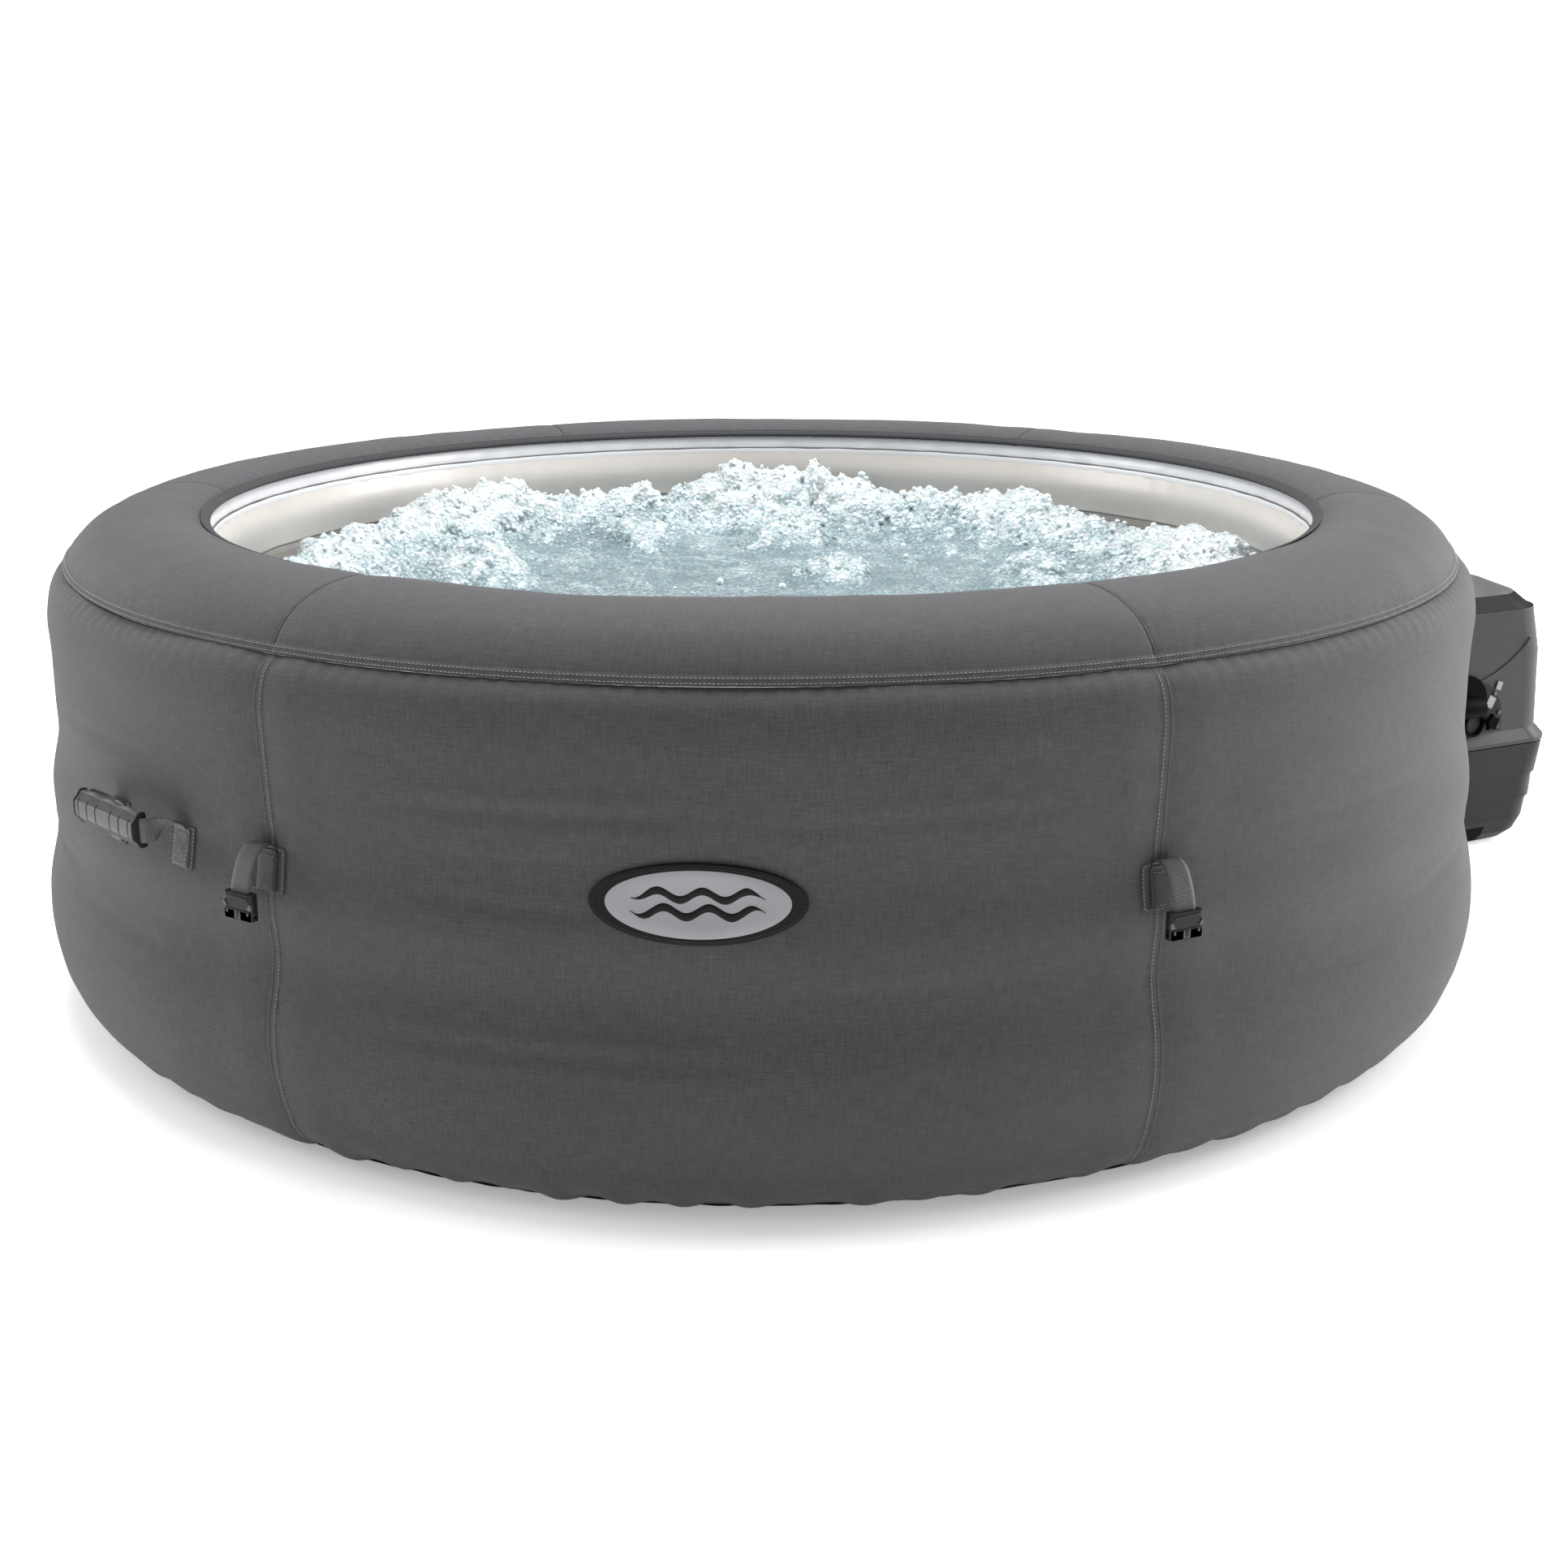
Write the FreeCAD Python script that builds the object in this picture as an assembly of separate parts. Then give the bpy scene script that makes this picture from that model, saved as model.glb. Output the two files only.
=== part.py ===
"""Inflatable hot tub with a fabric cover and a moulded control base.

The origin is on the floor at the centre of the tub's footprint and +Z is up. Azimuths are in degrees,
from -Y (the badge) towards +X. Shapes that repeat are modelled at azimuth 0, where a point is given as
(t, r, z): t along the wall, r out from the tub's axis and z up, and are then turned to their azimuth.
"""
import FreeCAD
import Part
import math
import os

V = FreeCAD.Vector
ORIGIN = V(0, 0, 0)
UP = V(0, 0, 1)
OUTWARD = V(0, -1, 0)

# ---- driving dimensions, mm and degrees ----------------------------------------------------------
# Cover: outlines in the (r, z) half plane, from the floor up and over to the inner edge.
WALL_OUTLINE = [(922, 2.8), (945, 28), (964, 80), (975, 130), (976, 170), (963, 253), (970, 320),
                (965, 377), (971, 440), (977, 505), (977.5, 545), (968, 577), (952, 594)]
RIM_OUTLINE = [(952, 594.8), (939, 616), (916, 637), (885, 651), (850, 658.5), (815, 659.7),
               (785, 652.5), (763, 640)]
COVER_THICKNESS = 2.5
PANEL_COUNT = 6
PANEL_ANGLE = 360.0 / PANEL_COUNT
FIRST_SEAM = -30.0
SEAM_GAP_ANGLE = 0.05
BINDING_START = 0.93
BINDING_THICKNESS = 1.2
HEM_INNER_RADIUS = 850.0
HEM_OUTER_RADIUS = 921.5
HEM_THICKNESS = 2.2

# Air chamber: welded PVC skins inside the cover.
SKIN_THICKNESS = 2.0
SKIN_GAP = 0.9
INNER_WALL_OUTLINE = [(763.5, 617), (756, 585), (761, 541), (750, 470), (748, 380), (756, 300),
                      (748, 210), (748, 110), (752, 30), (754, 6)]
BAND_LOWER_EDGE = [(767, 634), (764.2, 626), (763.8, 618.5)]
CHAMBER_BOTTOM_Z = 3.2
CHAMBER_BOTTOM_THICKNESS = 3.4
CHAMBER_BOTTOM_INNER = 757.0
CHAMBER_BOTTOM_OUTER = 918.8
WEB_HEIGHTS = (253.0, 377.0)
WEB_INNER_RADIUS = 763.0
WEB_OUTER_RADIUS = 955.0
WEB_THICKNESS = 1.5
WEB_HOLE_RADIUS = 40.0
WEB_HOLE_COUNT = 24
FLOOR_RADIUS = 748.0
FLOOR_THICKNESS = 4.0
BUBBLE_RING = [(686, 4.5), (730, 4.5), (722, 16), (694, 16)]
BUBBLE_HOLE_COUNT = 48
BUBBLE_HOLE_RADIUS = 2.0

# Badge: a blank oval on the front panel.
BADGE_HEIGHT = 370.0
BADGE_BACKING_SIZE = (228.0, 88.0)
BADGE_FACE_SIZE = (193.0, 74.0)
BADGE_RADIUS = 971.5
BADGE_BACKING_THICKNESS = 2.2
BADGE_FACE_THICKNESS = 1.0
LAYER_GAP = 0.2

# Sewn patches and the webbing tails on them.
PATCH_RADIUS = 970.3
PATCH_THICKNESS = 1.2
PATCH_CORNER = 3.0
TAIL_THICKNESS = 1.4
STRAP_PATCH_SIZE = (50.0, 52.0)
STRAP_PATCH_Z = 356.0
STRAP_TAIL_SIZE = (29.0, 48.0)
HANDLE_PATCH_SIZE = (46.0, 50.0)
HANDLE_PATCH_Z = 355.0
HANDLE_TAIL_SIZE = (30.0, 44.0)

# Cover straps: webbing that arcs off its patch and hangs down into the socket half of a buckle.
STRAP_AZIMUTHS = (-30.0, 30.0, 150.0, 210.0)
STRAP_WIDTH = 29.0
STRAP_THICKNESS = 1.6
STRAP_PATH = [(976, 381), (981, 386.5), (990, 387), (1000, 380.5), (1008.5, 367), (1014, 353),
              (1016.4, 342), (1016.5, 334)]
BUCKLE_CENTRE_RADIUS = 1017.3
BUCKLE_SIZE = (42.0, 12.0, 30.0)
BUCKLE_BOTTOM_Z = 311.0
BUCKLE_CORNER = 4.0
BUCKLE_SLOT = (31.0, 3.2, 11.0)
BUCKLE_SOCKET = (33.0, 7.2, 16.0)
BUCKLE_WINDOW = (6.0, 8.0)
BUCKLE_WINDOW_Z = 319.0
BUCKLE_NOTCH_RADIUS = 5.0

# Carrying handles: a moulded grip on a webbing loop between two patches.
HANDLE_AZIMUTHS = (-42.8, 137.2)
HANDLE_PATCH_OFFSET = 71.0
GRIP_LENGTH = 142.0
GRIP_RADIUS = 1025.0
GRIP_Z = 383.0
GRIP_SECTION = [(9, -9), (9, 9), (1, 20), (-8, 20), (-8, -20), (1, -20)]
GRIP_SLOT = (3.4, 32.0)
GRIP_GROOVE_OFFSETS = (-59, -38, -17, 17, 38, 59)
GRIP_GROOVE_WIDTH = 3.0
GRIP_GROOVE_DEPTH = 1.5
LOOP_THICKNESS = 1.8
LOOP_WIDTH = 30.0
LOOP_LEG_WIDTH = 8.0
LOOP_LEG_Z = 379.0
LOOP_LEG_PATH = [(71, 978), (77, 990), (86, 1003), (88, 1016), (81, 1025)]

# Valves.
AIR_VALVE_AZIMUTH = 168.0
AIR_VALVE_Z = 530.0
AIR_VALVE_RADIUS = 978.8
DRAIN_AZIMUTH = 200.0
DRAIN_Z = 52.0
CAP_RIB_COUNT = 16
CAP_RIB_RADIUS = 1.8

# Control base, which stands behind the tub at one panel's middle.
BASE_AZIMUTH = 120.0
BASE_INNER_RADIUS = 1020.0
BASE_CORNER = 60.0
SHELL_THICKNESS = 3.5
ROOF_FRONT = (1308.0, 432.0)
ROOF_BACK = (1034.0, 504.0)
# The roof is flat between these radii and half width, and falls from there to its edge.
ROOF_FLAT_SPAN = (1062.0, 1266.0)
ROOF_FLAT_HALF_WIDTH = 122.0
ROOF_FLAT_CORNER = 30.0
ROOF_EDGE = (425, 172, 1312)
# Each section is (height, half width, outer radius).
LOWER_SECTIONS = [[(0, 152, 1326), (7, 167, 1339), (20, 180, 1350), (44, 189, 1357), (80, 192, 1360.5)],
                  [(80, 195, 1363), (122, 196.5, 1364.5)],
                  [(122, 199.5, 1367.5), (176, 203, 1373.5)]]
UPPER_SECTIONS = [[(178, 204, 1374.5), (184, 204, 1374.5), (201, 195, 1361.5)],
                  [(201, 195, 1361.5), (330, 194, 1356), (402, 189, 1342)]]
ROOF_START = (402, 186, 1338)
ARCH_HEIGHT = 36.0
FOOT_HALF_WIDTH = 110.0
FOOT_SPAN = (1070.0, 1245.0)
TRAY_FLOOR_Z = 44.0
CREASE_POINTS = [(1196, 281), (1245, 301), (1302, 345)]
CREASE_WIDTH = 9.0
CREASE_DEPTH = 2.0

# Pipes between the tub and the control base.
WATER_PIPE_OFFSET = 75.0
WATER_PIPE_Z = 135.0
WATER_PIPE_RADIUS = 25.0
AIR_PIPE_Z = 315.0
AIR_PIPE_RADIUS = 20.0
PIPE_WALL = 4.0
PIPE_START = 736.0
PIPE_END = 1042.0
PIPE_HOLE_CLEARANCE = 1.0
FITTING_FLANGE_RADIUS = 40.0
FITTING_FLANGE_GAP = 2.0
NUT_SPAN = (985.0, 1011.0)
NUT_RADIUS = 39.0
NUT_BORE_CLEARANCE = 0.3
NUT_GRIP_COUNT = 12
STRAINER_SPAN = (724.0, 730.5)
STRAINER_RADIUS = 36.0
STRAINER_SLOT = (5.0, 46.0)
STRAINER_SLOT_PITCH = 10.0
STRAINER_SLOT_COUNT = 5

# Control panel on the sloping roof: (u, v, n) is across, up the slope and out of the roof.
PANEL_SIZE = (210.0, 118.0)
PANEL_CORNER = 22.0
PANEL_RADIUS = 1180.0
PANEL_LIFT = 0.4
PANEL_THICKNESS = 5.0
WINDOW_SIZE = (96.0, 38.0)
WINDOW_V = 24.0
WINDOW_CORNER = 8.0
WINDOW_DEPTH = 2.0
BUTTON_NAMES = ("power", "filter", "heater", "bubbles")
BUTTON_PITCH = 46.0
BUTTON_V = -28.0
BUTTON_RADIUS = 10.0
BUTTON_CLEARANCE = 0.4
BUTTON_BOTTOM = 2.0
BUTTON_TOP = 7.0
BUTTON_EDGE = 1.2

# Fittings on the side of the control base, given as (r, z) on its -t face.
SIDE_FACE = 196.5
SERVICE_PANEL_THICKNESS = 2.8
SERVICE_PANEL_CENTRE = 1180.0
SERVICE_PANEL_HALF_WIDTH = 68.0
SERVICE_PANEL_BOTTOM = 205.0
SERVICE_PANEL_SHOULDER = 226.0
SIDE_LAYER = SIDE_FACE + SERVICE_PANEL_THICKNESS + LAYER_GAP
PORT_CENTRE = (1187.0, 221.0)
PORT_RADIUS = 20.5
PORT_BORE_RADIUS = 15.5
PORT_DEPTH = 5.0
KNOB_CENTRE = (1218.5, 223.0)
KNOB_HUB_RADIUS = 10.0
KNOB_FIN_RADIUS = 14.0
KNOB_FIN_WIDTH = 4.0
KNOB_FIN_COUNT = 5
HOOD_CENTRE = (1160.0, 256.0)
HOOD_RADIUS = 50.0
HOOD_THICKNESS = 4.0
DRUM_RADIUS = 17.0
DRUM_SPAN = (1112.0, 1180.0)
DRUM_OFFSET = 20.0
# Each tag is (centre, size, lean, t of the face it lies on).
TAGS = [((1221.5, 255), (15, 19), 28, SIDE_LAYER), ((1240, 280), (11, 14), 20, SIDE_FACE)]
TAG_THICKNESS = 0.8
SCREW_POINTS = [(1241, 236), (1239, 214), (1229, 269), (1119, 236), (1119, 214)]
SCREW_HEAD_RADIUS = 4.0
SCREW_HEAD_HEIGHT = 2.0


# ---- helpers -------------------------------------------------------------------------------------
def local(t, r, z):
    """A point at azimuth 0: t along the wall, r out from the axis, z up."""
    return V(t, -r, z)


def turn(shape, azimuth):
    """A copy of a shape made at azimuth 0, turned to its azimuth."""
    turned = shape.copy()
    turned.rotate(ORIGIN, UP, azimuth)
    return turned


def spline(points):
    curve = Part.BSplineCurve()
    curve.interpolate([V(r, 0, z) for r, z in points])
    return curve


def offset_points(points, distance):
    """Move an outline's points along its right-hand normal, away from the solid for a rising wall."""
    moved = []
    for index, (r, z) in enumerate(points):
        before = points[max(index - 1, 0)]
        after = points[min(index + 1, len(points) - 1)]
        length = math.hypot(after[0] - before[0], after[1] - before[1])
        normal_r = (after[1] - before[1]) / length
        normal_z = -(after[0] - before[0]) / length
        moved.append((r + normal_r * distance, z + normal_z * distance))
    return moved


def sampled(points, first, last, count):
    """Points along the smooth outline between two fractions of its length."""
    curve = spline(points)
    start = curve.FirstParameter
    length = curve.LastParameter - start
    fractions = [first + (last - first) * step / (count - 1) for step in range(count)]
    return [(point.x, point.z) for point in (curve.value(start + part * length) for part in fractions)]


def skin_face(points, thickness):
    """A closed strip in the (r, z) plane between a smooth outline and its offset."""
    outer = spline(points)
    inner = spline(offset_points(points, -thickness))
    edges = [outer.toShape(),
             Part.makeLine(outer.EndPoint, inner.EndPoint),
             inner.toShape(),
             Part.makeLine(inner.StartPoint, outer.StartPoint)]
    return Part.Face(Part.Wire(Part.__sortEdges__(edges)))


def polygon_face(points):
    corners = [V(r, 0, z) for r, z in points]
    return Part.Face(Part.makePolygon(corners + corners[:1]))


def revolved(face, start=0.0, angle=360.0):
    """Turn an (r, z) face about the tub's axis from one azimuth through an angle."""
    section = face.copy()
    section.rotate(ORIGIN, UP, start - 90.0)
    return section.revolve(ORIGIN, UP, angle)


def across(face, width):
    """Extrude an (r, z) face along t, centred on azimuth 0."""
    section = face.copy()
    section.rotate(ORIGIN, UP, -90.0)
    section.translate(V(-width / 2, 0, 0))
    return section.extrude(V(width, 0, 0))


def rod(radius, start, end):
    axis = end - start
    return Part.makeCylinder(radius, axis.Length, start, axis)


def tube(outer, inner, start, end):
    return rod(outer, start, end).cut(rod(inner, start, end))


def block(t_span, r_span, z_span):
    corner = local(t_span[0], r_span[1], z_span[0])
    return Part.makeBox(t_span[1] - t_span[0], r_span[1] - r_span[0], z_span[1] - z_span[0], corner)


def rounded_wire(width, height, radius, place):
    """A rounded rectangle; place(u, v) gives the point in space."""
    half_w = width / 2
    half_h = height / 2
    bend = radius * (1 - math.sqrt(0.5))
    edges = []
    for sign_u, sign_v, lead in ((1, 1, "u"), (-1, 1, "v"), (-1, -1, "u"), (1, -1, "v")):
        on_u = (sign_u * half_w, sign_v * (half_h - radius))
        on_v = (sign_u * (half_w - radius), sign_v * half_h)
        middle = (sign_u * (half_w - bend), sign_v * (half_h - bend))
        start, end = (on_u, on_v) if lead == "u" else (on_v, on_u)
        edges.append((start, middle, end))
    shapes = []
    for index, (start, middle, end) in enumerate(edges):
        shapes.append(Part.Arc(place(*start), place(*middle), place(*end)).toShape())
        following = edges[(index + 1) % len(edges)][0]
        shapes.append(Part.makeLine(place(*end), place(*following)))
    return Part.Wire(shapes)


def wall_prism(width, height, corner, z, r_span):
    """A rounded rectangle on the wall at azimuth 0, extruded outwards."""
    wire = rounded_wire(width, height, corner, lambda u, v: local(u, r_span[0], z + v))
    return Part.Face(wire).extrude(OUTWARD * (r_span[1] - r_span[0]))


def follow_wall(prism, radius, thickness):
    """Keep the layer of a prism that lies on the cylinder of the wall."""
    height = 1000.0
    layer = Part.makeCylinder(radius + thickness, height).cut(Part.makeCylinder(radius, height))
    return prism.common(layer)


def fused(shapes):
    joined = shapes[0]
    if len(shapes) > 1:
        joined = shapes[0].multiFuse(shapes[1:])
    return joined.removeSplitter()


def ring_copies(shape, count, start=0.0):
    return [turn(shape, start + 360.0 * index / count) for index in range(count)]


def save(name, shapes):
    """Write one node; a list is a group of separate solids."""
    solids = shapes if isinstance(shapes, list) else [shapes]
    solids = [solid for shape in solids for solid in shape.Solids]
    node = solids[0] if len(solids) == 1 else Part.makeCompound(solids)
    if not node.isValid():
        raise ValueError(name + " is not a valid shape")
    node.exportStep("parts/" + name + ".step")


# ---- pipes and the holes that they need ----------------------------------------------------------
def water_pipe_ends(side):
    offset = side * WATER_PIPE_OFFSET
    return local(offset, PIPE_START, WATER_PIPE_Z), local(offset, PIPE_END, WATER_PIPE_Z)


def air_pipe_ends():
    return local(0, PIPE_START, AIR_PIPE_Z), local(0, PIPE_END, AIR_PIPE_Z)


def pipe_holes():
    """Cutters, in the tub's frame, for every pipe that crosses the wall."""
    cutters = []
    for side in (-1, 1):
        start, end = water_pipe_ends(side)
        cutters.append(turn(rod(WATER_PIPE_RADIUS + PIPE_HOLE_CLEARANCE, start, end), BASE_AZIMUTH))
    start, end = air_pipe_ends()
    cutters.append(turn(rod(AIR_PIPE_RADIUS + PIPE_HOLE_CLEARANCE, start, end), BASE_AZIMUTH))
    drain = rod(16.0 + PIPE_HOLE_CLEARANCE, local(0, PIPE_START, DRAIN_Z), local(0, 1000, DRAIN_Z))
    cutters.append(turn(drain, DRAIN_AZIMUTH))
    valve = rod(15.0 + PIPE_HOLE_CLEARANCE, local(0, 900, AIR_VALVE_Z), local(0, 1000, AIR_VALVE_Z))
    cutters.append(turn(valve, AIR_VALVE_AZIMUTH))
    return cutters


HOLES = pipe_holes()


def pierced(shape):
    return shape.cut(HOLES)


# ---- fabric cover --------------------------------------------------------------------------------
def make_cover():
    wall_face = skin_face(WALL_OUTLINE, COVER_THICKNESS)
    rim_face = skin_face(RIM_OUTLINE, COVER_THICKNESS)
    rims = []
    for index in range(PANEL_COUNT):
        start = FIRST_SEAM + index * PANEL_ANGLE + SEAM_GAP_ANGLE / 2
        angle = PANEL_ANGLE - SEAM_GAP_ANGLE
        save("wall_panel_%d" % (index + 1), pierced(revolved(wall_face, start, angle)))
        rims.append(revolved(rim_face, start, angle))
    save("rim_panels", rims)
    edge = offset_points(sampled(RIM_OUTLINE, BINDING_START, 1.0, 5), BINDING_THICKNESS + 0.3)
    save("rim_binding", revolved(skin_face(edge, BINDING_THICKNESS)))
    hem = Part.makeCylinder(HEM_OUTER_RADIUS, HEM_THICKNESS)
    save("base_hem", hem.cut(Part.makeCylinder(HEM_INNER_RADIUS, HEM_THICKNESS)))


def make_badge():
    nodes = (("badge_backing", BADGE_BACKING_SIZE, BADGE_RADIUS, BADGE_BACKING_THICKNESS),
             ("badge_face", BADGE_FACE_SIZE, BADGE_RADIUS + BADGE_BACKING_THICKNESS + LAYER_GAP,
              BADGE_FACE_THICKNESS))
    for name, (width, height), radius, thickness in nodes:
        oval = Part.Ellipse(ORIGIN, width / 2, height / 2).toShape()
        oval.rotate(ORIGIN, V(1, 0, 0), 90)
        oval.translate(local(0, radius - 20, BADGE_HEIGHT))
        prism = Part.Face(Part.Wire(oval)).extrude(OUTWARD * 40)
        save(name, follow_wall(prism, radius, thickness))


# ---- air chamber and pool ------------------------------------------------------------------------
def make_chamber():
    inset = COVER_THICKNESS + SKIN_GAP
    wall = revolved(skin_face(offset_points(WALL_OUTLINE, -inset), SKIN_THICKNESS))
    base = V(0, 0, CHAMBER_BOTTOM_Z)
    bottom = Part.makeCylinder(CHAMBER_BOTTOM_OUTER, CHAMBER_BOTTOM_THICKNESS, base)
    bottom = bottom.cut(Part.makeCylinder(CHAMBER_BOTTOM_INNER, CHAMBER_BOTTOM_THICKNESS, base))
    save("chamber_outer_wall", pierced(fused([wall, bottom])))
    band = offset_points(RIM_OUTLINE, -inset)[:-1] + BAND_LOWER_EDGE
    save("chamber_top_band", revolved(skin_face(band, SKIN_THICKNESS)))
    inner_face = skin_face(INNER_WALL_OUTLINE, SKIN_THICKNESS)
    save("chamber_inner_wall", pierced(revolved(inner_face)))
    webs = []
    hole_radius = (WEB_INNER_RADIUS + WEB_OUTER_RADIUS) / 2
    for height in WEB_HEIGHTS:
        base = V(0, 0, height)
        web = Part.makeCylinder(WEB_OUTER_RADIUS, WEB_THICKNESS, base)
        web = web.cut(Part.makeCylinder(WEB_INNER_RADIUS, WEB_THICKNESS, base))
        hole = rod(WEB_HOLE_RADIUS, local(0, hole_radius, height - 1), local(0, hole_radius, height + 5))
        webs.append(web.cut(ring_copies(hole, WEB_HOLE_COUNT)))
    save("tension_webs", webs)


def make_pool_floor():
    save("tub_floor", Part.makeCylinder(FLOOR_RADIUS, FLOOR_THICKNESS))
    ring = revolved(polygon_face(BUBBLE_RING))
    middle = (BUBBLE_RING[2][0] + BUBBLE_RING[3][0]) / 2
    top = BUBBLE_RING[2][1]
    hole = rod(BUBBLE_HOLE_RADIUS, local(0, middle, top - 6), local(0, middle, top + 1))
    save("bubble_ring", ring.cut(ring_copies(hole, BUBBLE_HOLE_COUNT)))


# ---- patches, straps and handles -----------------------------------------------------------------
def sewn_patch(patch_size, patch_z, tail_size, shift=0.0):
    """A fabric patch with the webbing's tail stitched onto it."""
    r_span = (PATCH_RADIUS - 20, PATCH_RADIUS + 20)
    patch = wall_prism(patch_size[0], patch_size[1], PATCH_CORNER, patch_z, r_span)
    tail = wall_prism(tail_size[0], tail_size[1], 1.0, patch_z, r_span)
    layers = [follow_wall(patch, PATCH_RADIUS, PATCH_THICKNESS),
              follow_wall(tail, PATCH_RADIUS + PATCH_THICKNESS, TAIL_THICKNESS)]
    joined = fused(layers)
    return turn(joined, math.degrees(shift / PATCH_RADIUS))


def make_patches():
    patches = [turn(sewn_patch(STRAP_PATCH_SIZE, STRAP_PATCH_Z, STRAP_TAIL_SIZE), azimuth)
               for azimuth in STRAP_AZIMUTHS]
    for azimuth in HANDLE_AZIMUTHS:
        for side in (-1, 1):
            patch = sewn_patch(HANDLE_PATCH_SIZE, HANDLE_PATCH_Z, HANDLE_TAIL_SIZE,
                               side * HANDLE_PATCH_OFFSET)
            patches.append(turn(patch, azimuth))
    save("sewn_patches", patches)


def buckle():
    """The socket half of a side-release buckle, open downwards."""
    width, depth, height = BUCKLE_SIZE
    top = BUCKLE_BOTTOM_Z + height
    outline = rounded_wire(width, depth, BUCKLE_CORNER,
                           lambda u, v: local(u, BUCKLE_CENTRE_RADIUS - v, BUCKLE_BOTTOM_Z))
    body = Part.Face(outline).extrude(UP * height)

    def pocket(size, low, high):
        half_t = size[0] / 2
        half_r = size[1] / 2
        return block((-half_t, half_t), (BUCKLE_CENTRE_RADIUS - half_r, BUCKLE_CENTRE_RADIUS + half_r),
                     (low, high))

    slot = pocket(BUCKLE_SLOT, top - BUCKLE_SLOT[2], top + 1)
    socket = pocket(BUCKLE_SOCKET, BUCKLE_BOTTOM_Z - 1, BUCKLE_BOTTOM_Z + BUCKLE_SOCKET[2])
    half_window = BUCKLE_WINDOW[1] / 2
    windows = pocket((width + 2, BUCKLE_WINDOW[0]), BUCKLE_WINDOW_Z - half_window,
                     BUCKLE_WINDOW_Z + half_window)
    notch = rod(BUCKLE_NOTCH_RADIUS, local(0, BUCKLE_CENTRE_RADIUS, BUCKLE_BOTTOM_Z),
                local(0, BUCKLE_CENTRE_RADIUS + depth, BUCKLE_BOTTOM_Z))
    return body.cut([slot, socket, windows, notch])


def make_straps():
    webbing = across(skin_face(STRAP_PATH, STRAP_THICKNESS), STRAP_WIDTH)
    socket_half = buckle()
    for index, azimuth in enumerate(STRAP_AZIMUTHS):
        save("strap_%d" % (index + 1), turn(webbing, azimuth))
        save("buckle_%d" % (index + 1), turn(socket_half, azimuth))


def handle_grip():
    corners = [(GRIP_RADIUS + r, GRIP_Z + z) for r, z in GRIP_SECTION]
    bar = across(polygon_face(corners), GRIP_LENGTH)
    slot = block((-GRIP_LENGTH, GRIP_LENGTH),
                 (GRIP_RADIUS - GRIP_SLOT[0] / 2, GRIP_RADIUS + GRIP_SLOT[0] / 2),
                 (GRIP_Z - GRIP_SLOT[1] / 2, GRIP_Z + GRIP_SLOT[1] / 2))
    front = GRIP_RADIUS + GRIP_SECTION[0][0]
    half_groove = GRIP_GROOVE_WIDTH / 2
    grooves = [block((offset - half_groove, offset + half_groove),
                     (front - GRIP_GROOVE_DEPTH, front + 1),
                     (GRIP_Z + GRIP_SECTION[0][1], GRIP_Z + GRIP_SECTION[1][1]))
               for offset in GRIP_GROOVE_OFFSETS]
    return bar.cut([slot] + grooves)


def handle_loop():
    """Webbing that runs through the grip and back to both patches, narrowed where it is twisted."""
    half = LOOP_LEG_PATH[-1][0]
    run = block((-half, half),
                (GRIP_RADIUS - LOOP_THICKNESS / 2, GRIP_RADIUS + LOOP_THICKNESS / 2),
                (GRIP_Z - LOOP_WIDTH / 2, GRIP_Z + LOOP_WIDTH / 2))
    leg_face = skin_face(LOOP_LEG_PATH, LOOP_THICKNESS)
    leg_face.rotate(ORIGIN, V(1, 0, 0), 90)
    leg_face.translate(V(0, 0, LOOP_LEG_Z - LOOP_LEG_WIDTH / 2))
    leg = leg_face.extrude(UP * LOOP_LEG_WIDTH)
    return fused([run, leg, leg.mirror(ORIGIN, V(1, 0, 0))])


def make_handles():
    grip = handle_grip()
    loop = handle_loop()
    for index, azimuth in enumerate(HANDLE_AZIMUTHS):
        save("handle_grip_%d" % (index + 1), turn(grip, azimuth))
        save("handle_webbing_%d" % (index + 1), turn(loop, azimuth))


# ---- valves --------------------------------------------------------------------------------------
def ribbed_cap(radius, bore, r_span, top_thickness, z):
    """A screw cap with grip ribs, on an outward axis at azimuth 0."""
    start = local(0, r_span[0], z)
    end = local(0, r_span[1], z)
    cap = rod(radius, start, end)
    ribs = []
    for index in range(CAP_RIB_COUNT):
        angle = 2 * math.pi * index / CAP_RIB_COUNT
        shift = V(radius * math.cos(angle), 0, radius * math.sin(angle))
        ribs.append(rod(CAP_RIB_RADIUS, start + shift, end + shift))
    bore_end = local(0, r_span[1] - top_thickness, z)
    return fused([cap] + ribs).cut(rod(bore, start - OUTWARD, bore_end))


def make_air_valve():
    r0 = AIR_VALVE_RADIUS
    z = AIR_VALVE_Z
    flange = rod(32, local(0, r0, z), local(0, r0 + 4, z))
    neck = rod(18, local(0, r0 + 4, z), local(0, r0 + 14, z))
    stem = rod(15, local(0, r0 - 40, z), local(0, r0, z))
    bore = rod(12, local(0, r0 - 41, z), local(0, r0 + 15, z))
    save("air_valve_body", turn(fused([flange, neck, stem]).cut(bore), AIR_VALVE_AZIMUTH))
    cap = ribbed_cap(24, 18.4, (r0 + 4.6, r0 + 18), 3.0, z)
    save("air_valve_cap", turn(cap, AIR_VALVE_AZIMUTH))


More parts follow.
